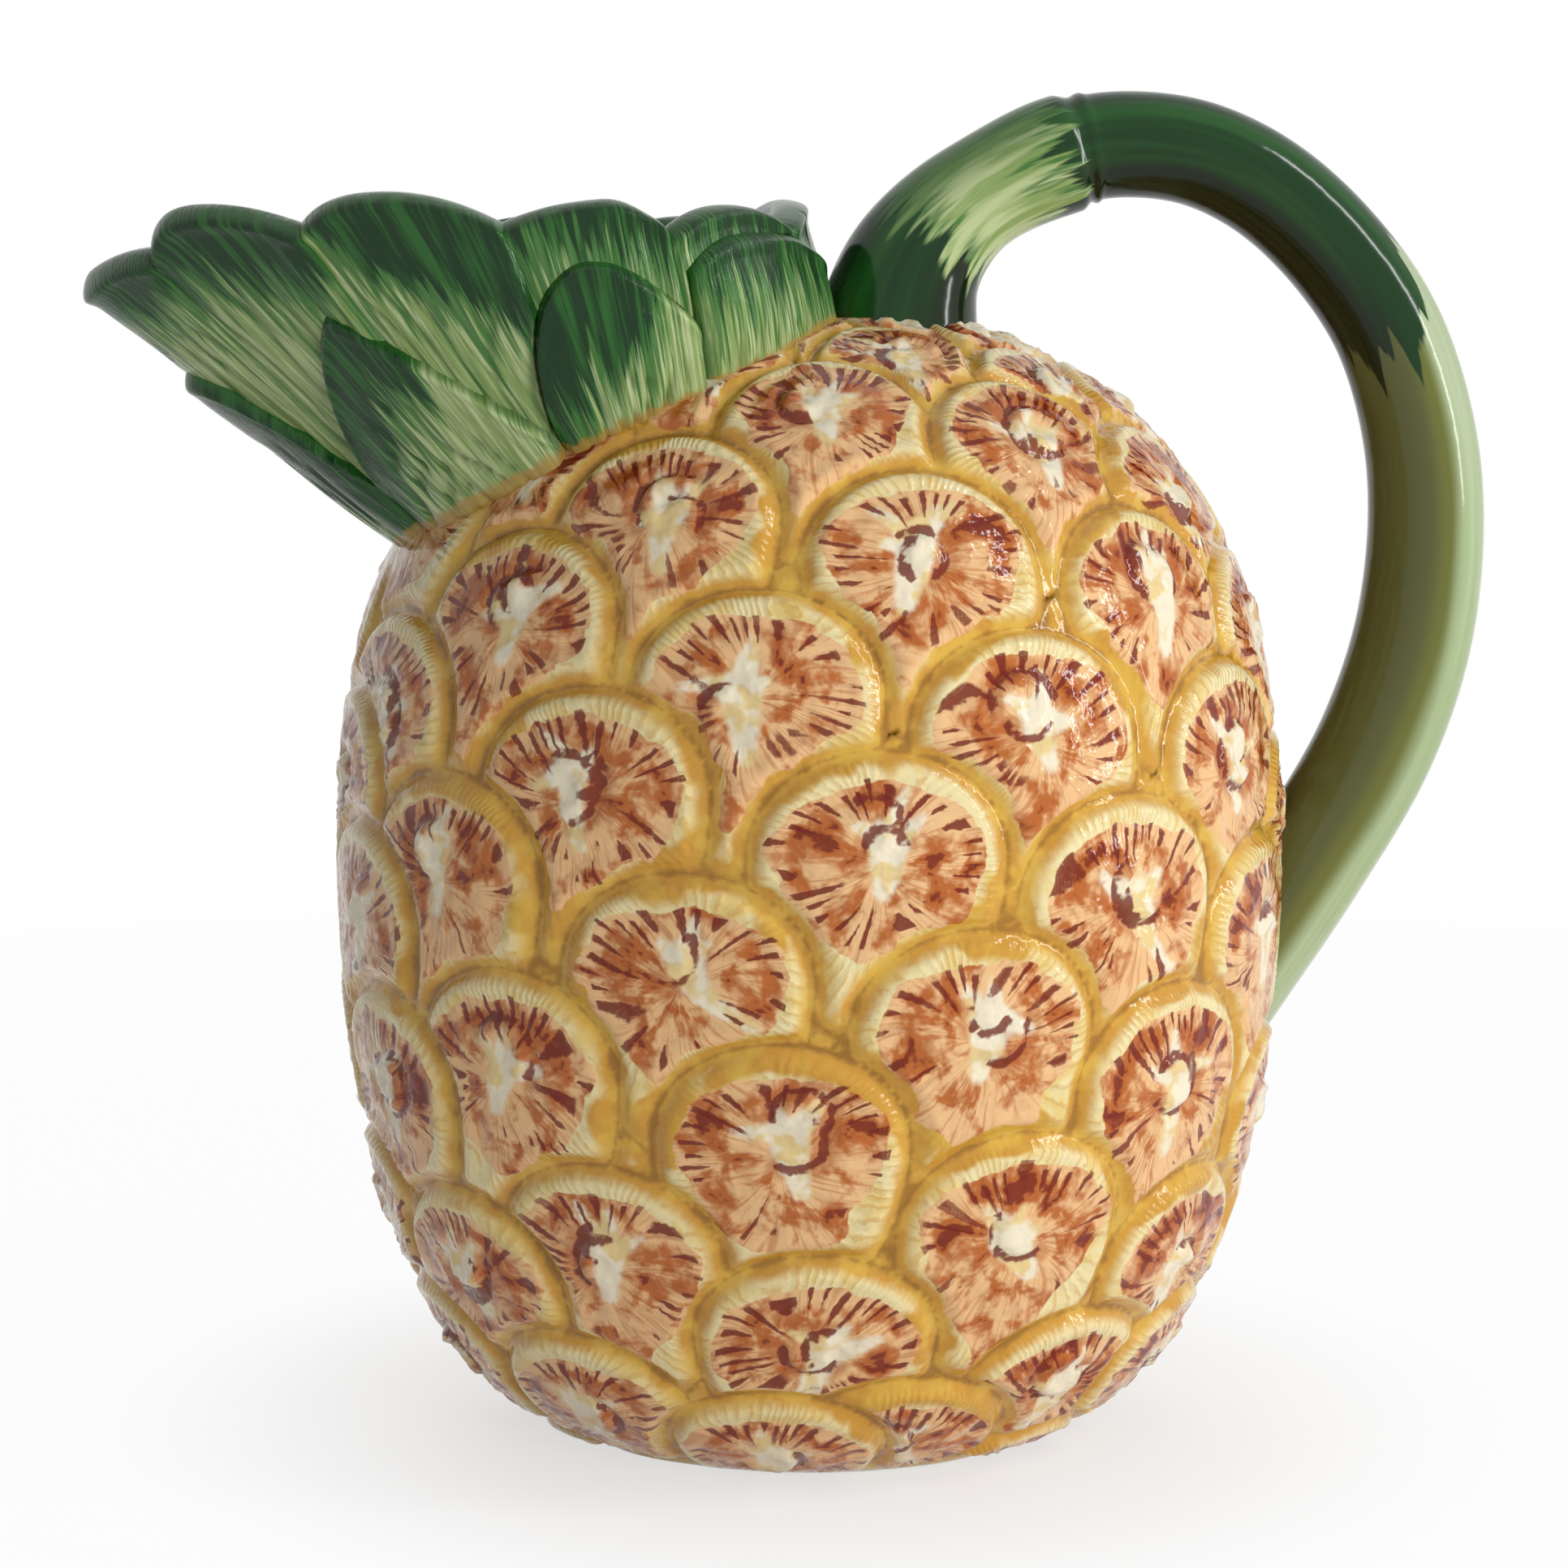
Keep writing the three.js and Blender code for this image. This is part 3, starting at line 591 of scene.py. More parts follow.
def fruitlet_field(fruitlets, shape, deg, s):
    """Owner, place in it, distance to the groove and into the brown patch, for skin points."""
    r = np.interp(s, shape.outline_s, shape.outline_r)
    owner = np.full(deg.shape, -1)
    below = np.full(deg.shape, 9.0)
    edge = np.zeros(deg.shape)
    patch = np.full(deg.shape, -5.0)
    local = np.zeros((len(deg), 3))
    free = np.ones(deg.shape, bool)
    # From the lowest fruitlet up, as each overlaps the ones over it
    for order, (k, at_deg, at_rise, half_width) in enumerate(fruitlets):
        near = free & (np.abs(s - at_rise) < TAIL_HALF + 10)
        turn = half_turn(deg[near] - at_deg)
        up = s[near] - at_rise
        tall = np.where(up > 0, TOP_HALF, TAIL_HALF)
        away = (np.hypot(turn / half_width, up / tall) - 1) * TOP_HALF
        inside = away < 0
        index = np.flatnonzero(near)
        mine, others = index[inside], index[~inside]
        x, y, depth = np.radians(turn[inside]) * r[mine], up[inside], -away[inside]
        owner[mine] = order
        edge[mine] = np.minimum(depth, below[mine])
        local[mine] = np.stack([x, y, np.full(len(mine), float(k))], -1)
        half = math.radians(half_width) * np.interp(at_rise, shape.outline_s, shape.outline_r)
        lean = np.clip(y / tall[inside], 0, 1) / np.maximum(1 - depth / TOP_HALF, 0.2)
        patch[mine] = brown_patch(x, y, k, half, depth, lean, below[mine])
        free[mine] = False
        below[others] = np.minimum(below[others], away[~inside])
    edge[free] = -below[free]
    return owner, local, edge, patch


def pleat_angle(x, y, number):
    """Angle round a fruitlet's middle, bent so that its pleats are uneven and lean over."""
    turn = np.arctan2(y + 1, x)
    lean = 0.02 * (np.hypot(x, y + 1) - 9) * np.sin(2 * turn + 3 * number)
    return turn + 0.11 * np.sin(3 * turn + number) + 0.06 * np.sin(7 * turn + 2 * number) + lean


def hooked_fold(x, y, pick, middle, size):
    """A curled lip of clay with a valley outside it: its height and the distance to the valley."""
    lip, lip_width, valley, valley_out, valley_width = 0.95, 1.25, 0.8, 2.1, 1.0
    across = x - middle[0] - pick.uniform(-3.5, 3.5) * size
    along = y - middle[1] - pick.uniform(-3.5, 3) * size
    radius, start, span = pick.uniform(2.4, 4.6) * size, pick.uniform(0, 360), pick.uniform(120, 210)
    out = np.hypot(across, along) - radius
    turn = (np.degrees(np.arctan2(along, across)) - start) % 360
    past = np.where(turn < span, 0, np.minimum(turn - span, 360 - turn))
    height = lip * np.exp(-(out / lip_width) ** 2)
    height = height - valley * np.exp(-((out - valley_out) / valley_width) ** 2)
    return size * height * np.exp(-(past / 22) ** 2), np.hypot(out - 1.9, past * 0.16)


def heart_depth(x, y, pick, middle):
    """Depth in the pale heart, a blot with one long arm down and three short ones up."""
    arms = [(pick.uniform(-112, -68), pick.uniform(7, 13), pick.uniform(2.6, 3.9), 0.55)]
    first = pick.uniform(-10, 60)
    for turn in np.arange(3) * pick.uniform(52, 75) + first:
        arms.append((turn, pick.uniform(4.5, 10), pick.uniform(1.8, 3.3), 0.75))
    depth = np.full(len(x), -9.0)
    for turn, reach, width, narrowing in arms:
        cos, sin = math.cos(math.radians(turn)), math.sin(math.radians(turn))
        along = (x - middle[0]) * cos + (y - middle[1]) * sin
        on = np.clip(along, 0, reach)
        side = (y - middle[1]) * cos - (x - middle[0]) * sin - pick.uniform(-0.05, 0.05) * on ** 2
        arm = width * (1 - narrowing * on / reach) - np.hypot(along - on, side)
        depth = np.maximum(depth, arm)
    return depth


def fruitlet_marks(owner, local, patch, count):
    """Depth in the pale heart, distance from the creases painted dark as stroke and shade, and height
    of the folds.
    """
    heart = np.full(len(owner), -9.0)
    crease = np.full(len(owner), 9.0)
    folds = np.zeros(len(owner))
    for order in range(count):
        mine = np.flatnonzero((owner == order) & (patch > -2))
        if not len(mine):
            continue
        x, y, k = local[mine].T
        pick = random.Random(500 + int(k[0]))
        middle = (pick.uniform(-2, 2), pick.uniform(-0.5, 3.5))
        heart[mine] = heart_depth(x, y, pick, middle)
        sizes = [1.0, pick.uniform(0.5, 0.8)] if pick.random() < 0.6 else [1.0]
        for size in sizes:
            height, valley = hooked_fold(x, y, pick, middle, size)
            folds[mine] += height
            crease[mine] = np.minimum(crease[mine], valley)
        for place, a, b in zip(mine, x, y):
            near = math.exp(-((math.hypot(a, b - 1) / 9.5) ** 4))
            folds[place] += 0.4 * near * noise.noise((0.3 * a + 3.7 * k[0], 0.3 * b, 9.0))
        ring = smooth(patch[mine], -0.8, 0.6) * (1 - smooth(patch[mine], 3, 9))
        folds[mine] += 0.2 * ring * np.sin(PLEATS * pleat_angle(x, y, k))
    return heart, crease, folds * smooth(patch, -0.8, 1.2)


def shape_body(piece, shape):
    """Raise the fruitlets on the outer skin and keep what the glaze needs."""
    places = vertex_places(piece)
    r, z = np.hypot(places[:, 0], places[:, 1]), places[:, 2]
    deg = np.degrees(np.arctan2(places[:, 1], places[:, 0]))
    s = shape.distance_along(r, z)
    on_r, on_z, _, _ = shape.outline_at(s)
    skin = (np.hypot(on_r - r, on_z - z) < 0.1) & (z > 0.3)
    fruitlets = spiral_fruitlets(shape)

    # Slide the points beside a groove onto it, so that its bottom runs as a clean line
    ends = smooth(s, 0.5, 7) * smooth(shape.outline_length - s, 0, 20)
    edge = fruitlet_field(fruitlets, shape, deg, s)[2]
    step = 0.3
    per_degree = np.radians(1) * np.maximum(r, 1)
    around = (fruitlet_field(fruitlets, shape, deg + step / per_degree, s)[2] - edge) / step
    up = (fruitlet_field(fruitlets, shape, deg, s + step)[2] - edge) / step
    near = skin & (np.abs(edge) < 0.55)
    slide = np.where(near, ends * edge / np.maximum(np.hypot(around, up), 0.5) ** 2, 0)
    deg = deg - slide * around / per_degree
    s = np.clip(s - slide * up, 0, shape.outline_length)
    owner, local, edge, patch = fruitlet_field(fruitlets, shape, deg, s)

    # Raise the skin, fading out at the foot, at the top and under the crown
    r, z, out_r, out_z = shape.outline_at(s)
    turn = np.radians(deg)
    neck = shape.neck_share(r * np.cos(turn), r * np.sin(turn))
    neck = np.where(z > shape.belly_height, neck, 9)
    heart, crease, folds = fruitlet_marks(owner, local, patch, len(fruitlets))
    table = rounded_table(RELIEF_PROFILE, 0.5)
    lift = np.interp(edge, *table) + 0.01 * local[:, 1] * smooth(edge, 0, 3) + folds
    lift *= ends * smooth(neck, 1, 1.12)
    new = round_places(r + out_r * lift, turn, z + out_z * lift)
    move_vertices(piece, np.where(skin[:, None], new, places))

    store_fruitlet_places(piece, shape, fruitlets, deg, s, r)
    store(piece, "groove_distance", np.where(skin, edge, 9))
    store(piece, "patch_depth", np.where(skin, patch, -5))
    store(piece, "heart_depth", heart)
    store(piece, "crease_distance", crease)
    store(piece, "skin", (skin & (neck > 0.96)).astype(float))
    store(piece, "along_outline", s)


def store_fruitlet_places(piece, shape, fruitlets, deg, s, r):
    """Keep the place of each face's corners in one fruitlet, the one at the face's middle."""
    mesh = piece.data
    corners = np.empty(len(mesh.loops), int)
    mesh.loops.foreach_get("vertex_index", corners)
    starts, totals = (np.empty(len(mesh.polygons), int) for _ in range(2))
    mesh.polygons.foreach_get("loop_start", starts)
    mesh.polygons.foreach_get("loop_total", totals)
    face = np.repeat(np.arange(len(totals)), totals)
    turn = np.radians(deg)
    cos, sin, rise = (np.add.reduceat(values[corners], starts) / totals
                      for values in (np.cos(turn), np.sin(turn), s))
    middle_deg = np.degrees(np.arctan2(sin, cos))
    owner = fruitlet_field(fruitlets, shape, middle_deg, rise)[0][face]
    k, at_deg, at_rise = np.array([fruitlet[:3] for fruitlet in fruitlets])[owner].T
    x = np.radians(half_turn(deg[corners] - at_deg)) * r[corners]
    store(piece, "fruitlet_place", np.stack([x, s[corners] - at_rise, k], -1), "CORNER")


def fruitlet_glaze(colours):
    """Amber grooves, cream borders and brushed brown patches."""
    g = GlazeNodes("fruitlet glaze")
    place = g.place()
    x, y, number = g.split(g.attribute("fruitlet_place", "Vector"))
    edge = g.attribute("groove_distance")
    patch = g.attribute("patch_depth")
    seed = g.join(0.0, 0.0, g.times(number, 3.71))
    flat = g.vector("ADD", g.join(x, y, 0.0), g.vector("MULTIPLY", seed, (1, 1, 9)))

    # Round the fruitlet's middle, as the pleats run
    lifted = g.plus(y, 1.0)
    turn = g.math("ARCTAN2", lifted, x)
    radius = g.vector("LENGTH", g.join(x, lifted, 0.0))

    def swing(waves, shift):
        """A sine round the middle, shifted from one fruitlet to the next."""
        return g.math("SINE", g.scaled(turn, waves, g.times(number, shift)))

    lean = g.times(g.scaled(radius, 0.02, -0.18), swing(2.0, 3.0))
    bent = g.scaled(swing(3.0, 1.0), 0.11, g.plus(turn, lean))
    bent = g.scaled(swing(7.0, 2.0), 0.06, bent)
    direction = g.join(g.math("COSINE", bent), g.math("SINE", bent), 0.0)

    def around(fineness, pull):
        """A place that changes round the middle, and a little on the way out."""
        spread = g.vector("MULTIPLY", direction, (fineness,) * 3)
        depth = g.join(0.0, 0.0, g.times(radius, pull))
        return g.vector("ADD", g.vector("ADD", spread, depth), seed)

    blotch = g.noise(place, 0.045, 2)
    cloud = g.noise(place, 0.16, 3)
    fine = g.noise(place, 0.5, 3, 0.6)
    mottled = g.noise(flat, 0.17, 3, 0.6, 0.6)
    patch = g.plus(patch, g.centred(g.noise(flat, 0.12, 1), 5.0))

    # Border: a brown line deep in the groove, amber beside it and in floods, cream on the bead
    cream = g.layer(colours.cream, colours.butter, cloud, 0.46, 0.66, 0.55)
    cream = g.layer(cream, colours.groove, fine, 0.55, 0.75, 0.25)
    spread = g.plus(g.math("ABSOLUTE", edge), g.centred(fine, 1.3))
    spread = g.plus(spread, g.centred(cloud, 2.6))
    flooded = g.minus(spread, g.step(blotch, 0.53, 0.64, 0.0, 3.0))
    amber = g.layer(colours.groove, colours.butter, cloud, 0.44, 0.64, 0.6)
    border = g.layer(amber, cream, flooded, 0.9, 3.0)
    border = g.layer(border, colours.groove_deep, spread, 0.8, -0.3, 0.65)
    ribs = g.math("SINE", g.scaled(bent, float(BEAD_RIBS), g.centred(fine, 5.0)))
    on_bead = g.times(g.step(edge, 1.0, 2.2), g.step(patch, 0.3, -0.5))
    rib_mask = g.times(g.step(ribs, 0.35, 0.9, 0.0, 0.45), g.times(on_bead, g.step(cloud, 0.4, 0.52)))
    border = g.mix(rib_mask, border, colours.groove)

    # Patch: salmon wash, russet in a ring between the strokes and the heart, and pale pleat ends
    streaked = g.noise(around(2.2, 0.13), 1.0, 3, 0.65)
    shade = g.scaled(streaked, 0.5, g.times(mottled, 0.5))
    heart = g.plus(g.attribute("heart_depth"), g.centred(fine, 1.6))
    ring = g.times(g.step(patch, 0.6, 3.6), g.step(heart, -0.6, -3.6))
    ring = g.times(ring, g.step(y, -10.0, 4.0, 0.3, 1.0))
    shade = g.scaled(ring, 0.085, g.minus(shade, 0.045))
    wash = g.layer(colours.wash, colours.russet, shade, 0.44, 0.56)
    grain = g.noise(around(22.0, 0.1), 1.0, 2)
    wash = g.layer(wash, colours.russet, grain, 0.5, 0.66, 0.5)
    wash = g.layer(wash, colours.stroke, shade, 0.575, 0.62, 0.85)
    worn = g.noise(flat, 0.2, 2)
    tint = g.layer(colours.heart, colours.butter, worn, 0.48, 0.6, 0.6)
    # The valley beside each curled fold gets russet on its flank and dark brown in its bottom: partly
    # a brushed stroke, partly painted shade
    bold = g.plus(g.attribute("crease_distance"), g.centred(fine, 1.2))
    crease = g.plus(bold, g.centred(mottled, 3.0))
    wash = g.layer(wash, colours.russet, crease, 3.2, 1.4, 0.55)
    painted = g.layer(wash, tint, heart, -0.9, 0.5)
    painted = g.layer(painted, colours.stroke, crease, 1.0, 0.5, 0.9)

    # Strokes of a thin brush, one to a pleat, of uneven length, from the patch's edge inwards
    ragged = g.plus(patch, g.centred(fine, 1.3))
    colour = g.layer(border, painted, ragged, -0.15, 0.2)
    phase = g.scaled(bent, PLEATS / (2 * math.pi), 0.25)
    pleat = g.math("FLOORED_MODULO", g.math("FLOOR", g.plus(phase, 0.5)), float(PLEATS))
    off = g.times(g.math("PINGPONG", phase, 0.5), g.times(radius, 2 * math.pi / PLEATS))
    off = g.plus(off, g.centred(g.noise(flat, 0.7, 2), 0.9))

    def chance(shift):
        """One even random number for each stroke."""
        node = g.add("ShaderNodeTexWhiteNoise", noise_dimensions="3D")
        g.feed(node.inputs["Vector"], g.join(g.plus(pleat, shift), number, 0.5))
        return node.outputs["Value"]

    start = g.scaled(chance(0.25), 2.2, -0.9)
    length = g.scaled(g.times(chance(0.5), chance(0.75)), 9.5, 2.0)
    length = g.plus(length, g.step(y, 0.0, 8.0, 0.0, 1.6))
    share = g.math("DIVIDE", g.minus(patch, start), length)
    taper = g.minus(1.0, g.times(share, share))
    width = g.times(g.scaled(chance(0.1), 0.45, 0.38), taper)
    edge_off = g.minus(off, width)
    strokes = g.times(g.step(edge_off, 0.16, -0.1, 0.0, 0.92), g.step(share, 0.0, 0.06))
    strokes = g.times(strokes, g.times(g.step(share, 1.0, 0.9), g.step(radius, 6.0, 8.0)))
    sparse = g.step(g.scaled(chance(0.6), 14.0, y), -3.5, -3.0)
    colour = g.mix(g.times(strokes, sparse), colour, colours.stroke)

    foot = g.attribute("along_outline")
    wiped = g.step(g.scaled(fine, 6.0, foot), 9.0, 4.0, 0.0, 0.7)
    colour = g.mix(wiped, colour, colours.cream)
    hidden = g.layer(colours.inside, colours.bisque, g.split(place)[2], 2.4, 2.2)
    colour = g.mix(g.attribute("skin"), hidden, colour)

    relief = g.times(g.noise(place, 0.35, 2), 0.5)
    pleat_ring = g.times(g.step(patch, -0.3, 0.8), g.step(patch, 7.0, 3.0))
    finer = g.noise(around(15.0, 0.06), 1.0, 1)
    parts = (
        g.times(g.times(ribs, on_bead), 0.13),
        g.times(g.times(finer, pleat_ring), 0.3),
        g.times(g.noise(flat, 0.42, 1), g.step(patch, 2.0, 6.0)),
    )
    for part in parts:
        relief = g.plus(relief, part)
    return g.glaze(colour, relief)


def leaf_top(leaf, deg):
    """Top of a lower leaf at a direction, as a share of the crown wall."""
    (start, tip, end), reach, shoulder = leaf[:3]
    side = np.where(deg < tip, start, end)
    low = np.where(deg < tip, reach[0], reach[2])
    far = np.clip((deg - tip) / (side - tip), 0, 1)
    return low + (reach[1] - low) * (1 - far ** shoulder)


def mirrored(leaves):
    """The near leaves with their far twins added."""
    both = dict(leaves)
    for name, leaf in leaves.items():
        if "left" not in name:
            continue
        if isinstance(leaf[0], tuple):
            turned = tuple(-value for value in reversed(leaf[0]))
            far = (turned, leaf[1][::-1], *leaf[2:4])
        else:
            rise = tuple(value * FAR_RISE_SHARE for value in reversed(leaf[2]))
            far = (-leaf[1], -leaf[0], rise)
        depth, middle, half = leaf[-1]
        both[name.replace("left", "right")] = (*far, (depth, -middle, half))
    return both


def lower_cover(deg, spread):
    """Highest lower leaf about a direction, 0 where there is none."""
    cover = np.zeros_like(deg)
    for leaf in mirrored(LOWER_LEAVES).values():
        start, tip, end = leaf[0]
        for part in (-1, 0, 1):
            turn = half_turn(deg + part * spread - tip) + tip
            hit = (turn > start) & (turn < end)
            cover = np.where(hit, np.maximum(cover, leaf_top(leaf, turn)), cover)
    return cover


class LeafSlab:
    """A two-sided grid for one leaf: across from -1 to 1, up from 0 to 1, and which face."""

    def __init__(self, name, start, end, fineness):
        self.piece = grid_piece("glazed_" + name, fineness.leaf_columns, fineness.leaf_rows)
        apply_modifier(self.piece, "SOLIDIFY", thickness=1.0, offset=1.0)
        places = vertex_places(self.piece) * MM
        self.across = np.sin(places[:, 0] * math.pi / 2)
        self.up = 1 - (1 - (places[:, 1] + 1) / 2) ** 1.4
        self.front = np.abs(places[:, 2]) > 0.5
        self.half_span = (end - start) / 2
        self.deg = start + self.half_span * (self.across + 1)


def rounded_edge(distance, radius):
    """Share of the full thickness at a distance from a leaf's outline."""
    share = 1 - np.clip(distance / radius, 0, 1)
    return np.sqrt(np.maximum(1 - share ** 2, 0))


def furrows_at(column, up, seed):
    """Depth share of the wavy upright furrows on a leaf, 1 in the middle of one."""
    wander = [noise.noise((0.11 * c + seed, 0.035 * u, seed)) for c, u in zip(column, up)]
    wave = np.sin(math.pi * (column / FURROW_SPACING + 1.6 * np.array(wander)))
    return np.exp(-(wave / 0.32) ** 2)


def shape_leaf(slab, shape, bottom, top, build):
    """Put a leaf's slab on the crown wall and keep what the glaze needs."""
    across, deg = slab.across, slab.deg
    t = bottom + (top - bottom) * slab.up
    step = 0.5
    around = shape.wall_face(deg + step, t) - shape.wall_face(deg - step, t)
    half_width = slab.half_span * np.linalg.norm(around, axis=-1)
    run = shape.wall_length(deg, t)
    column, height = across * half_width, t * run
    side_distance = (1 - np.abs(across)) * half_width
    top_distance = (top - t) * run
    nearest = np.minimum(side_distance, top_distance)

    # Outer face: a pad with a lip under the tip, a rolled side, furrows and a slow swell
    pad = rounded_edge(side_distance, build.pad) * rounded_edge(top_distance, build.pad)
    outer = build.edge + (build.full - build.edge) * pad
    outer = outer + build.lip * np.exp(-((top_distance - 2.4) / 1.9) ** 2)
    outer = outer + build.roll * np.exp(-((build.side * across - 0.86) / 0.16) ** 2)
    slant = across * slab.half_span * NECK_DEGREE
    furrow = furrows_at(slant, height, build.seed)
    furrow *= smooth(top_distance, build.bare, build.bare + 12) * smooth(side_distance, 0.5, 3)
    swell = np.array([noise.noise((0.12 * c, 0.06 * h, build.seed)) for c, h in zip(column, height)])
    outer = outer - build.furrow * furrow + 0.5 * swell * smooth(nearest, 0, 5)

    inner = build.inner - build.curl * smooth(t, 0.93, 1.0)
    round_share = rounded_edge(side_distance, 1.8) * rounded_edge(top_distance, 3.0)
    middle, half = (outer + inner) / 2, (outer - inner) / 2
    offset = middle + np.where(slab.front, half, -half) * round_share
    move_vertices(slab.piece, shape.crown_point(deg, t, offset))

    deep, centre, half_dark = build.dark
    oval = 1 - ((across - centre) / half_dark) ** 2
    dark = deep * np.sign(oval) * np.sqrt(np.abs(oval)) - top_distance
    for name, values in (("leaf_column", slant), ("leaf_up", height), ("dark_depth", dark),
                         ("leaf_rim", nearest), ("furrow", furrow)):
        store(slab.piece, name, values)
    close_seams(slab.piece)


def leaf_glaze(colours, node, seed):
    """Pale foot with green streaks and furrows, and a dark brushed tip."""
    g = GlazeNodes(node.replace("_", " "))
    place = g.place()
    column = g.attribute("leaf_column")
    up = g.attribute("leaf_up")
    depth = g.attribute("dark_depth")
    rim = g.attribute("leaf_rim")

    def streaks(fineness, length, shift):
        """Brush streaks up the leaf."""
        across = g.times(column, fineness)
        return g.noise(g.join(across, g.times(up, length), seed + shift), 1.0, 2, 0.6)

    # Pale foot with sage streaks and dark furrow lines, greener towards the tip
    base = g.layer(colours.pale_leaf, colours.sage, streaks(1.3, 0.06, 0.0), 0.36, 0.62)
    base = g.layer(base, colours.rib, streaks(3.4, 0.07, 11.0), 0.5, 0.68, 0.5)
    base = g.mix(g.times(g.attribute("furrow"), 0.8), base, colours.rib)
    green = g.step(depth, -22.0, 2.0, -0.13, 0.1)
    brushed = g.plus(streaks(1.6, 0.05, 5.0), green)
    base = g.layer(base, colours.leaf, brushed, 0.46, 0.6, 0.85)
    worn = g.step(streaks(1.2, 0.04, 3.0), 0.44, 0.68, 0.0, 0.8)

    # Dark tip with a ragged lower edge, green brush marks in it and a thinner glaze on the rim
    rag = g.plus(g.centred(streaks(2.4, 0.05, 9.0), 22.0), g.centred(streaks(0.5, 0.03, 2.0), 26.0))
    ragged = g.plus(depth, rag)
    dark = g.mix(worn, colours.bottle, colours.leaf)
    tip = g.layer(base, colours.leaf, ragged, -4.5, 0.0, 0.6)
    tip = g.layer(tip, dark, ragged, -1.2, 2.0)
    thin = g.plus(rim, g.centred(streaks(3.0, 0.3, 7.0), 2.4))
    tip = g.layer(tip, colours.leaf, thin, 2.2, 0.6, 0.6)
    foot = g.plus(up, g.times(g.noise(place, 0.5, 2), 3.0))
    tip = g.layer(tip, colours.slip, foot, 2.8, 1.2, 0.85)
    relief = g.plus(g.times(g.noise(place, 0.3, 2), 0.6), g.times(streaks(3.4, 0.07, 11.0), -0.6))
    return g.glaze(tip, relief)


def collar_glaze(colours):
    """Cream with clouds of pale green."""
    g = GlazeNodes("collar glaze")
    place = g.place()
    tint = g.noise(place, 0.08, 3)
    colour = g.layer(colours.cream, colours.pale_leaf, tint, 0.45, 0.65, 0.6)
    return g.glaze(colour, g.noise(place, 0.3, 2))


def cane_glaze(colours):
    """Dark root, node and top, a pale band, and a sage and olive lower half.

    The places of the bands are millimetres along the cane from its root.
    """
    g = GlazeNodes("cane glaze")
    place = g.place()
    along = g.attribute("cane_along")
    outer = g.attribute("cane_outer")
    near = g.attribute("cane_near")
    ring = g.join(g.times(outer, 9.0), g.times(near, 9.0), 0.0)

    def streaks(fineness, length, shift):
        """Brush streaks along the cane."""
        spread = g.vector("MULTIPLY", ring, (fineness,) * 3)
        run = g.scaled(along, length, shift)
        return g.noise(g.vector("ADD", spread, g.join(0.0, 0.0, run)), 1.0, 2, 0.6)

    def ragged(fineness, size):
        """The place along the cane, with brushed ends for a band that is cut by it."""
        return g.scaled(g.minus(streaks(fineness, 0.03, 2.0), 0.5), size, along)

    def spell(value, start, end, blur):
        """1 between a start and an end."""
        return g.times(g.step(value, start - blur, start + blur),
                      g.step(value, end + blur, end - blur))

    pale = g.layer(colours.pale_leaf, colours.sage, streaks(0.5, 0.05, 0.0), 0.4, 0.66)
    pale = g.layer(pale, colours.leaf, outer, 0.2, 0.95, 0.8)

    # Lower half: olive inside, moss in the middle, sage outside. The darker inner side is partly the
    # glaze's own olive and partly painted shade, with a painted reflection of the yellow body
    shade = g.scaled(g.minus(streaks(0.15, 0.012, 7.0), 0.5), 0.35, outer)
    sage = g.layer(colours.celadon, colours.sage, streaks(0.3, 0.012, 4.0), 0.35, 0.7, 0.5)
    lower = g.layer(sage, colours.moss, shade, 0.55, 0.15)
    lower = g.layer(lower, colours.olive, shade, 0.12, -0.2)
    colour = g.layer(pale, lower, along, 95.0, 110.0)

    # Dark root, and the dark part over the node, each with a brushed fringe
    deep = g.layer(colours.bottle, colours.leaf, streaks(0.25, 0.012, 6.0), 0.45, 0.75, 0.55)
    # Painted shade: the dark parts go near black towards the inner side of the bend
    deep = g.layer(deep, colours.shade, outer, 0.15, -0.5, 0.85)
    edge = ragged(0.6, 26.0)
    fringe = g.times(g.step(streaks(1.0, 0.06, 5.0), 0.44, 0.6, 0.0, 0.8),
                    g.minus(1.0, spell(edge, 31.0, 47.0, 3.0)))
    colour = g.mix(g.times(fringe, spell(edge, 22.0, 56.0, 2.0)), colour, colours.leaf)
    root = g.step(edge, 27.0, 24.0)
    notched = g.scaled(g.step(outer, 0.35, 0.85), 16.0, ragged(0.3, 50.0))
    over = g.times(g.step(edge, 52.0, 54.5), g.step(notched, 135.5, 133.5))
    colour = g.mix(g.math("MAXIMUM", root, over), colour, deep)
    foot = g.step(ragged(0.4, 30.0), 300.0, 306.0)
    colour = g.mix(foot, colour, deep)
    return g.glaze(colour, g.noise(place, 0.16, 2), roughness=0.13, strength=0.12)


def cane_line(shape):
    """Points along the cane's middle line, a smooth curve through its path, and their distances."""
    root = shape.rim_centre + shape.rim_back + CANE_ROOT
    out = shape.belly_radius + shape.handle_stand_off
    top = shape.dome_height + shape.handle_rise
    points = [np.array([root + (out - root) * a, CANE_FOOT + (top - CANE_FOOT) * b])
              for a, b in CANE_PATH]
    points = [2 * points[0] - points[1], *points, 2 * points[-1] - points[-2]]
    curve = []
    for p0, p1, p2, p3 in zip(points, points[1:], points[2:], points[3:]):
        d0, d1, d2 = (math.sqrt(np.linalg.norm(b - a)) for a, b in ((p0, p1), (p1, p2), (p2, p3)))
        t1 = d1 * ((p1 - p0) / d0 - (p2 - p0) / (d0 + d1) + (p2 - p1) / d1)
        t2 = d1 * ((p2 - p1) / d1 - (p3 - p1) / (d1 + d2) + (p3 - p2) / d2)
        for u in np.linspace(0, 1, 60, endpoint=False):
            curve.append(p1 + t1 * u + (-3 * p1 + 3 * p2 - 2 * t1 - t2) * u ** 2
                         + (2 * p1 - 2 * p2 + t1 + t2) * u ** 3)
    curve = np.array([*curve, points[-2]])
    along = np.concatenate([[0], np.cumsum(np.linalg.norm(np.diff(curve, axis=0), axis=1))])
    return curve, along


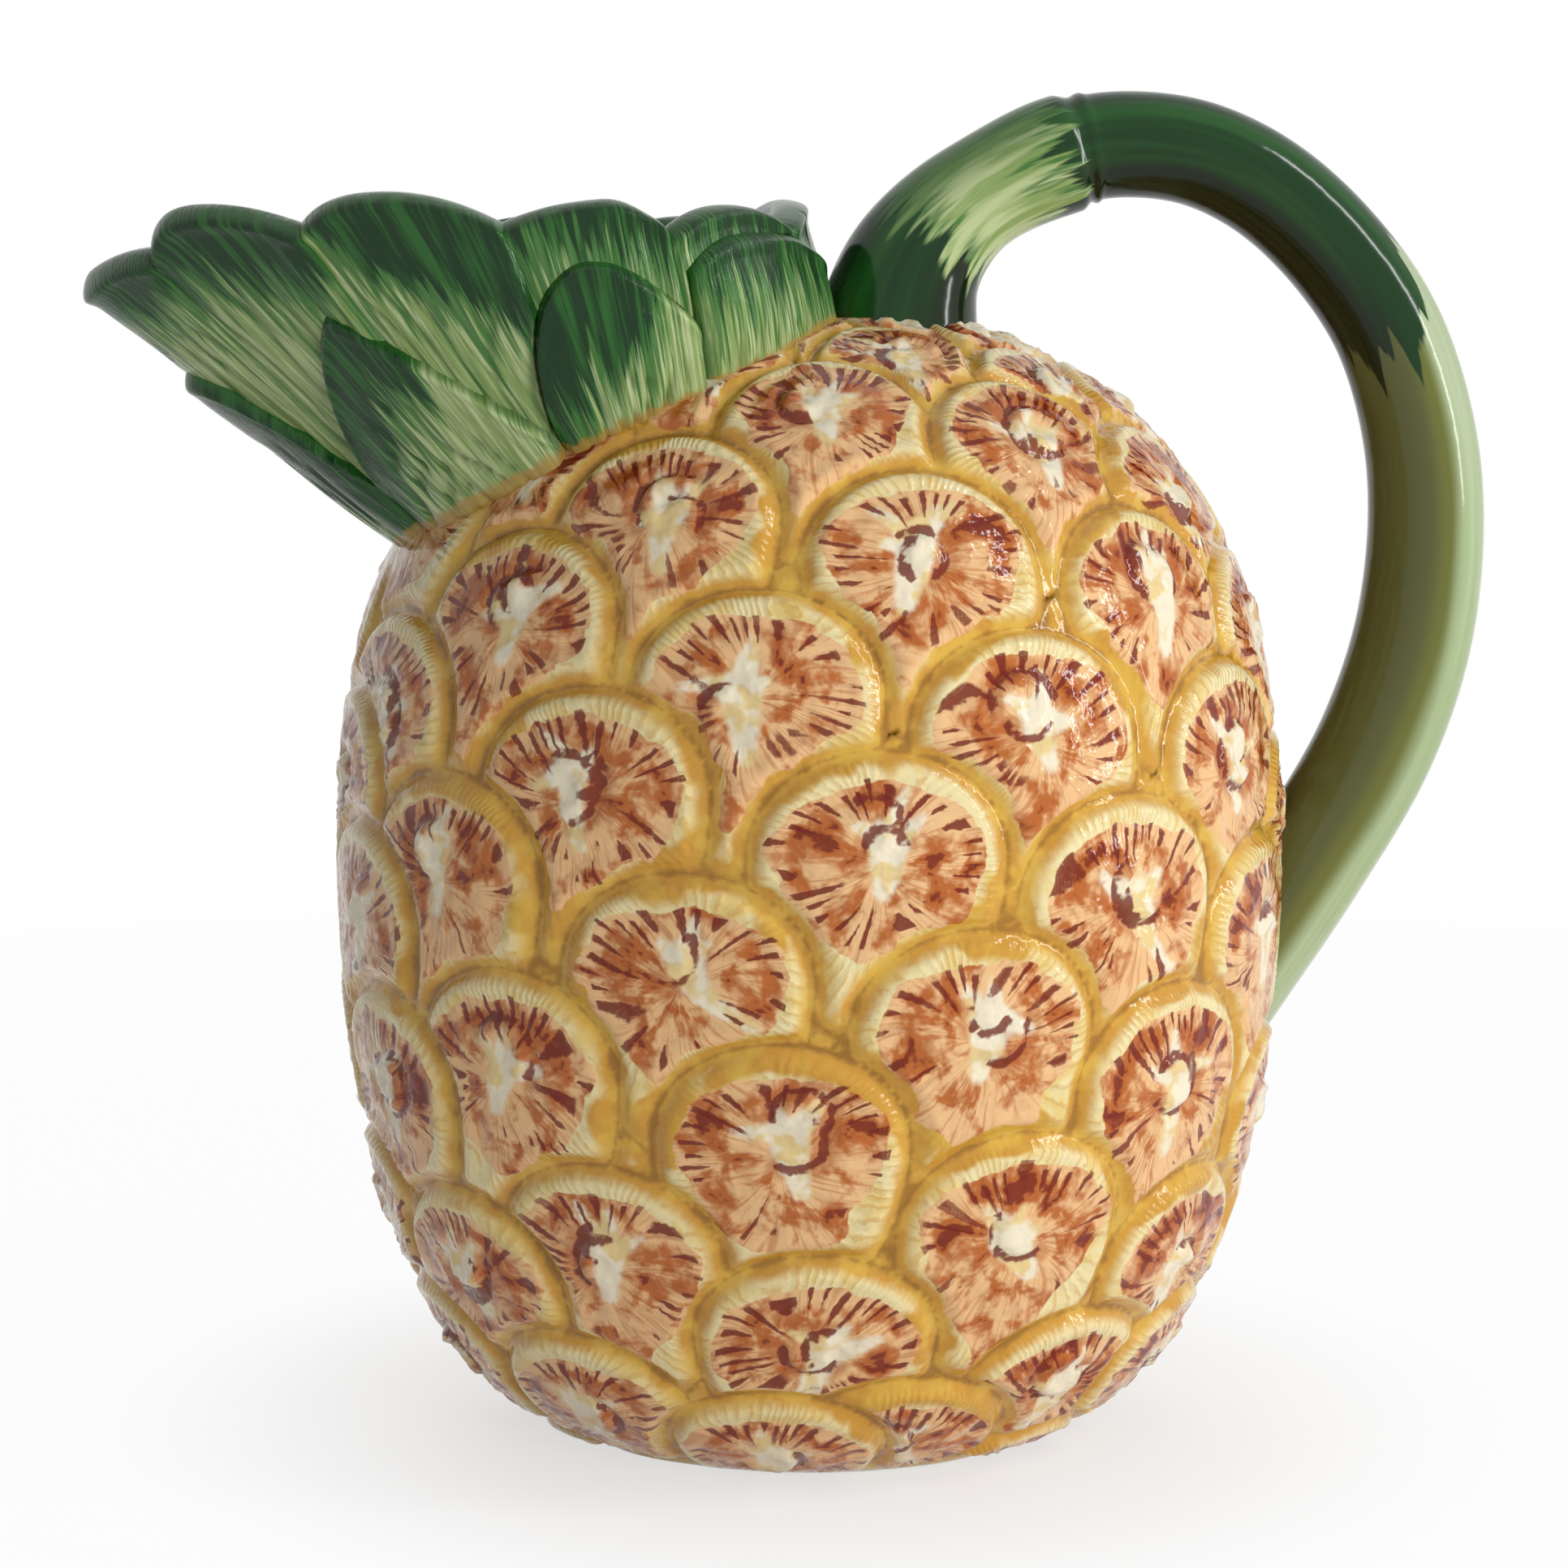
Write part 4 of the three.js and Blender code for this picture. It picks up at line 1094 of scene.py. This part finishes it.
def cane_radius(shape, along, total):
    """Radius of the cane: flared at its root, ringed at its node and thicker below."""
    thickening, flare, flare_length = 1.5, 5.7, 26
    swelling, ring, ring_place, ring_width = 1.15, 0.55, 3.4, 0.8
    past = along - CANE_NODE
    radius = shape.handle_radius + thickening * smooth(along / total, 0.3, 0.75)
    radius += flare * np.exp(-(along / flare_length) ** 2)
    radius += swelling * smooth(past, -20, -1) * (1 - smooth(past, -0.6, 2.2))
    return radius + ring * np.exp(-((past - ring_place) / ring_width) ** 2)


def shape_cane(piece, shape, rings):
    """Wrap a grid round the cane's middle line and close its ends."""
    curve, table = cane_line(shape)
    across, up = grid_shares(piece)
    total = table[-1]
    row = np.round(up * rings)
    along = np.clip((row - 1) / (rings - 2), 0, 1) * total
    x, z = (np.interp(along, table, curve[:, i]) for i in (0, 1))
    slope = [np.interp(np.clip(along + 1, 0, total), table, curve[:, i])
             - np.interp(np.clip(along - 1, 0, total), table, curve[:, i]) for i in (0, 1)]
    size = np.hypot(*slope)
    tx, tz = slope[0] / size, slope[1] / size
    at_end = (row < 0.5) | (row > rings - 0.5)
    radius = np.where(at_end, 0, cane_radius(shape, along, total))
    angle = across * 2 * math.pi
    inner, near = np.cos(angle), np.sin(angle)
    new = np.stack([x + tz * radius * inner, -radius * near, z - tx * radius * inner], -1)
    move_vertices(piece, new)
    store(piece, "cane_along", along)
    store(piece, "cane_outer", -inner)
    store(piece, "cane_near", near)
    close_seams(piece)


def turned_solid(name, shape, belly, top, bottom):
    """An egg-shaped solid to cut with."""
    piece = add_primitive(name, bpy.ops.mesh.primitive_uv_sphere_add, segments=128, ring_count=64,
                          radius=1)
    places = vertex_places(piece) * MM
    z = bottom + (top - bottom) * (places[:, 2] + 1) / 2
    closed = np.hypot(places[:, 0], places[:, 1]) < 1e-6
    radius = np.where(closed, 0, shape.wall_radius(z, belly, top, bottom))
    turn = np.arctan2(places[:, 1], places[:, 0])
    move_vertices(piece, round_places(radius, turn, z))
    return piece


class PINEAPPLE_OT_body(bpy.types.Operator):
    """Model the hollow body with its fruitlets"""

    bl_idname = "pineapple.body"
    bl_label = "Body"

    def execute(self, context):
        scene = context.scene
        shape, fineness = JugShape(scene.jug_sizes), scene.jug_fineness
        piece = grid_piece("glazed_body", fineness.body_columns, fineness.body_rows)
        across, up = grid_shares(piece)
        row = np.round(up * fineness.body_rows).astype(int)
        foot = np.array(FOOT_PROFILE)
        s = np.linspace(0.4, shape.outline_length, fineness.body_rows + 1 - len(foot))
        r, z, _, _ = shape.outline_at(s)
        r[-1] = 0
        path_r, path_z = np.concatenate([foot[:, 0], r]), np.concatenate([foot[:, 1], z])
        move_vertices(piece, round_places(path_r[row], across * 2 * math.pi, path_z[row]))
        close_seams(piece)
        hollow = turned_solid("hollow", shape, shape.belly_radius - shape.wall,
                              shape.dome_height - shape.wall, shape.floor)
        cut_away(piece, hollow)
        cut_away(piece, self.neck_cutter(shape))
        shape_body(piece, shape)
        finish_piece(piece, "body", fruitlet_glaze(scene.jug_colours))
        return {"FINISHED"}

    def neck_cutter(self, shape):
        """An oval rod through the dome, square to its slope."""
        low = float(shape.dome_z(shape.neck_centre - shape.neck_half_length, 0))
        high = float(shape.dome_z(shape.neck_centre + shape.neck_half_length, 0))
        tilt = math.atan2(high - low, 2 * shape.neck_half_length)
        clearance = 1.5
        inset = shape.leaf_band + shape.collar_wall + clearance
        cutter = add_primitive("neck_cutter", bpy.ops.mesh.primitive_cylinder_add, vertices=128,
                               radius=1, depth=1)
        size = (shape.neck_half_length / math.cos(tilt) - inset,
                shape.neck_half_width - inset, 1.5 * shape.neck_half_length)
        stretch = Matrix.Diagonal((*(value * MM for value in size), 1))
        place = Matrix.Translation(Vector((shape.neck_centre, 0, (low + high) / 2)) * MM)
        cutter.data.transform(place @ Matrix.Rotation(-tilt, 4, "Y") @ stretch)
        return cutter


class PINEAPPLE_OT_collar(bpy.types.Operator):
    """Model the crown wall behind the leaves"""

    bl_idname = "pineapple.collar"
    bl_label = "Crown wall"

    columns, rows = 288, 96

    def execute(self, context):
        scene = context.scene
        shape = JugShape(scene.jug_sizes)
        piece = grid_piece("glazed_crown_collar", self.columns, self.rows)
        across, up = grid_shares(piece)

        # Four laps round the wall's section: up the outer face, over the lip, down the inner face
        # and back under the foot
        outer, lip, inner, lap = 1.7, 2.3, 3.9, up * 4
        foot_t, lip_t, top_t, full_t = -0.03, 0.94, 0.97, 1
        laps = (lap < outer, lap < lip, lap < inner)
        swing = (lap - outer) / (lip - outer) * math.pi
        rising = lap / outer * top_t + foot_t
        falling = top_t - (lap - lip) / (inner - lip)
        over = lip_t + (full_t - lip_t) * np.sin(swing)
        t = np.select(laps, (np.minimum(rising, lip_t), over, np.minimum(falling, lip_t)), foot_t)
        half = shape.collar_wall / 2
        offset = np.select(laps, (0, half * (np.cos(swing) - 1), -2 * half),
                           -2 * half * (4 - lap) / (4 - inner))
        move_vertices(piece, shape.crown_point(across * 360 % 360, t, offset))
        close_seams(piece)
        finish_piece(piece, "crown_collar", collar_glaze(scene.jug_colours))
        return {"FINISHED"}


class PINEAPPLE_OT_rim_leaves(bpy.types.Operator):
    """Model the leaves that form the rim and the spout"""

    bl_idname = "pineapple.rim_leaves"
    bl_label = "Rim leaves"

    # How far a leaf reaches past its neighbour in degrees and behind a lower leaf as a share of the
    # crown wall, and the least of it that shows over a lower leaf in millimetres
    overlap, tuck, least_height = 0.8, 0.06, 2.5

    def execute(self, context):
        scene = context.scene
        shape = JugShape(scene.jug_sizes)
        for seed, (name, leaf) in enumerate(mirrored(RIM_LEAVES).items()):
            start, end, rise, dark = leaf
            slab = LeafSlab(name, start - self.overlap, end + self.overlap, scene.jug_fineness)
            wall = shape.wall_length(slab.deg, np.ones_like(slab.deg))
            side = np.where(slab.across < 0, rise[0], rise[2])
            bulge = 1 - np.abs(slab.across) ** 2.2
            over = shape.leaf_rise * (side + (rise[1] - side) * bulge)
            cover = lower_cover(slab.deg, 1.0)
            bottom = np.where(cover > 0, cover - self.tuck, LEAF_FOOT)
            top = np.maximum(1 + over / wall, cover + self.least_height / wall)
            build = SimpleNamespace(**RIM_BUILD, roll=1.2 * (0 < abs(end + start) < 240),
                                    side=-1 if start < -30 else 1, dark=dark, seed=3.1 * seed)
            shape_leaf(slab, shape, bottom, top, build)
            glaze = leaf_glaze(scene.jug_colours, name, 1.7 * seed)
            finish_piece(slab.piece, name, glaze)
        return {"FINISHED"}


class PINEAPPLE_OT_lower_leaves(bpy.types.Operator):
    """Model the thick leaves at the foot of the crown"""

    bl_idname = "pineapple.lower_leaves"
    bl_label = "Lower leaves"

    def execute(self, context):
        scene = context.scene
        shape = JugShape(scene.jug_sizes)
        for seed, (name, leaf) in enumerate(mirrored(LOWER_LEAVES).items()):
            (start, _, end), _, _, fullness, dark = leaf
            slab = LeafSlab(name, start, end, scene.jug_fineness)
            bottom, top = np.full_like(slab.deg, LEAF_FOOT), leaf_top(leaf, slab.deg)
            build = SimpleNamespace(**LOWER_BUILD, full=3.0 + 2.4 * fullness, roll=0.8 * (seed > 0),
                                    side=-1 if "right" in name else 1, dark=dark,
                                    seed=20 + 2.3 * seed)
            shape_leaf(slab, shape, bottom, top, build)
            glaze = leaf_glaze(scene.jug_colours, name, 30 + 1.3 * seed)
            finish_piece(slab.piece, name, glaze)
        return {"FINISHED"}


class PINEAPPLE_OT_handle(bpy.types.Operator):
    """Model the cane handle"""

    bl_idname = "pineapple.handle"
    bl_label = "Handle"

    def execute(self, context):
        scene = context.scene
        shape, fineness = JugShape(scene.jug_sizes), scene.jug_fineness
        piece = grid_piece("glazed_handle", fineness.cane_sides, fineness.cane_rings)
        shape_cane(piece, shape, fineness.cane_rings)
        # The root and the foot of the cane reach a little into the body's wall
        side, top, bottom = shape.belly_radius - 1.5, shape.dome_height - 1.2, 1
        cut_away(piece, turned_solid("core", shape, side, top, bottom))
        finish_piece(piece, "handle", cane_glaze(scene.jug_colours))
        return {"FINISHED"}


class PINEAPPLE_OT_stage(bpy.types.Operator):
    """Set the floor, the lights and the camera"""

    bl_idname = "pineapple.stage"
    bl_label = "Stage"

    camera_turn = math.radians(-7)
    camera_pitch = math.radians(8.39)
    camera_side, camera_back, camera_height = -4.6, 900, 250
    focal_length, sensor_width = 113.83, 36
    floor_radius = 4
    world_light = 0.2
    lamp_target = Vector((0, 0, 0.11))

    # Degrees round from the camera's side and up, distance and size in metres, power in watts, and
    # whether the glaze mirrors the lamp
    lamps = {
        "window": (74, 24, 1.5, (0.1, 1.3), 10, True),
        "side": (28, 8, 1.6, (0.8, 0.8), 10.5, False),
        "front": (8, 4, 1.6, (1.4, 1.0), 4.5, False),
        "back": (-172, 22, 1.6, (1.2, 1.0), 14, False),
    }

    def execute(self, context):
        scene = context.scene
        self.right = Vector((math.cos(self.camera_turn), math.sin(self.camera_turn), 0))
        self.ahead = Vector((-math.sin(self.camera_turn), math.cos(self.camera_turn), 0))
        self.add_floor()
        self.add_world(scene)
        self.add_camera(scene)
        for name, lamp in self.lamps.items():
            self.add_light(name, *lamp)
        scene.view_settings.view_transform = "Standard"
        return {"FINISHED"}

    def add_floor(self):
        """A round white floor."""
        floor = add_primitive("floor", bpy.ops.mesh.primitive_circle_add, vertices=96,
                              radius=self.floor_radius, fill_type="NGON")
        floor.data.materials.append(self.backdrop_material())

    def backdrop_material(self):
        """White to the eye, with a part of the true shading so that the shadow shows."""
        g = GlazeNodes("white floor")
        self_white = g.add("ShaderNodeEmission")
        matt = g.add("ShaderNodeBsdfDiffuse")
        matt.inputs["Color"].default_value = (0.85, 0.85, 0.85, 1)
        seen = g.shown_rays()
        distance = g.vector("LENGTH", g.place())
        away = g.math("MAXIMUM", g.step(distance, 45.0, 140.0, 0.65, 0.95),
                      g.step(distance, 100.0, 600.0))
        shown = g.mix_shaders(g.times(seen, away), matt.outputs[0], self_white.outputs[0])
        g.tree.nodes.remove(g.shader)
        g.feed(g.tree.nodes["Material Output"].inputs["Surface"], shown)
        return g.material

    def add_world(self, scene):
        """Soft light all round, and plain white wherever the world itself is seen."""
        world = bpy.data.worlds.new("studio")
        scene.world = world
        world.use_nodes = True
        w = NodeWiring(world.node_tree)
        light = w.tree.nodes["Background"]
        light.inputs["Color"].default_value = (1, 1, 1, 1)
        light.inputs["Strength"].default_value = self.world_light
        white = w.add("ShaderNodeBackground")
        white.inputs["Color"].default_value = (1, 1, 1, 1)
        shown = w.mix_shaders(w.shown_rays(), light.outputs[0], white.outputs[0])
        w.feed(w.tree.nodes["World Output"].inputs["Surface"], shown)

    def add_camera(self, scene):
        """A long lens at the photograph's angle, a little over the jug."""
        data = bpy.data.cameras.new("camera")
        data.lens, data.sensor_width = self.focal_length, self.sensor_width
        camera = bpy.data.objects.new("camera", data)
        scene.collection.objects.link(camera)
        drop = Vector((0, 0, math.sin(self.camera_pitch)))
        forward = self.ahead * math.cos(self.camera_pitch) - drop
        upward = self.right.cross(forward)
        turn = Matrix((self.right, upward, -forward)).transposed().to_4x4()
        place = self.right * self.camera_side - self.ahead * self.camera_back
        place += Vector((0, 0, self.camera_height))
        camera.matrix_world = Matrix.Translation(place * MM) @ turn
        scene.camera = camera

    def add_light(self, name, swing, rise, distance, size, power, mirrored):
        """A rectangular lamp, placed round from the camera's side and up."""
        around, up = math.radians(swing), math.radians(rise)
        level = -self.ahead * math.cos(around) + self.right * math.sin(around)
        direction = level * math.cos(up) + Vector((0, 0, math.sin(up)))
        data = bpy.data.lights.new(name, "AREA")
        data.shape = "RECTANGLE"
        data.size, data.size_y = size
        data.energy = power
        lamp = bpy.data.objects.new(name, data)
        lamp.visible_glossy = mirrored
        bpy.context.scene.collection.objects.link(lamp)
        place = Matrix.Translation(self.lamp_target + direction * distance)
        lamp.matrix_world = place @ direction.to_track_quat("Z", "Y").to_matrix().to_4x4()


class PINEAPPLE_PT_panel(bpy.types.Panel):
    """Buttons and sizes of the pineapple jug"""

    bl_label = "Pineapple Jug"
    bl_idname = "PINEAPPLE_PT_panel"
    bl_space_type = "VIEW_3D"
    bl_region_type = "UI"
    bl_category = "Jug"

    def draw(self, context):
        layout = self.layout
        for operator in OPERATORS:
            layout.operator(operator.bl_idname)
        for group in (context.scene.jug_sizes, context.scene.jug_fineness, context.scene.jug_colours):
            box = layout.box()
            for name in type(group).__annotations__:
                box.prop(group, name)


OPERATORS = (
    PINEAPPLE_OT_body, PINEAPPLE_OT_collar, PINEAPPLE_OT_rim_leaves, PINEAPPLE_OT_lower_leaves,
    PINEAPPLE_OT_handle, PINEAPPLE_OT_stage,
)
CLASSES = (JugSizes, JugFineness, JugColours, *OPERATORS, PINEAPPLE_PT_panel)


def register():
    for cls in CLASSES:
        bpy.utils.register_class(cls)
    bpy.types.Scene.jug_sizes = PointerProperty(type=JugSizes)
    bpy.types.Scene.jug_fineness = PointerProperty(type=JugFineness)
    bpy.types.Scene.jug_colours = PointerProperty(type=JugColours)


def unregister():
    del bpy.types.Scene.jug_colours
    del bpy.types.Scene.jug_fineness
    del bpy.types.Scene.jug_sizes
    for cls in reversed(CLASSES):
        bpy.utils.unregister_class(cls)


def main():
    """Model the jug and its stage."""
    register()
    bpy.ops.pineapple.body()
    bpy.ops.pineapple.collar()
    bpy.ops.pineapple.rim_leaves()
    bpy.ops.pineapple.lower_leaves()
    bpy.ops.pineapple.handle()
    bpy.ops.pineapple.stage()


if __name__ == "__main__":
    main()
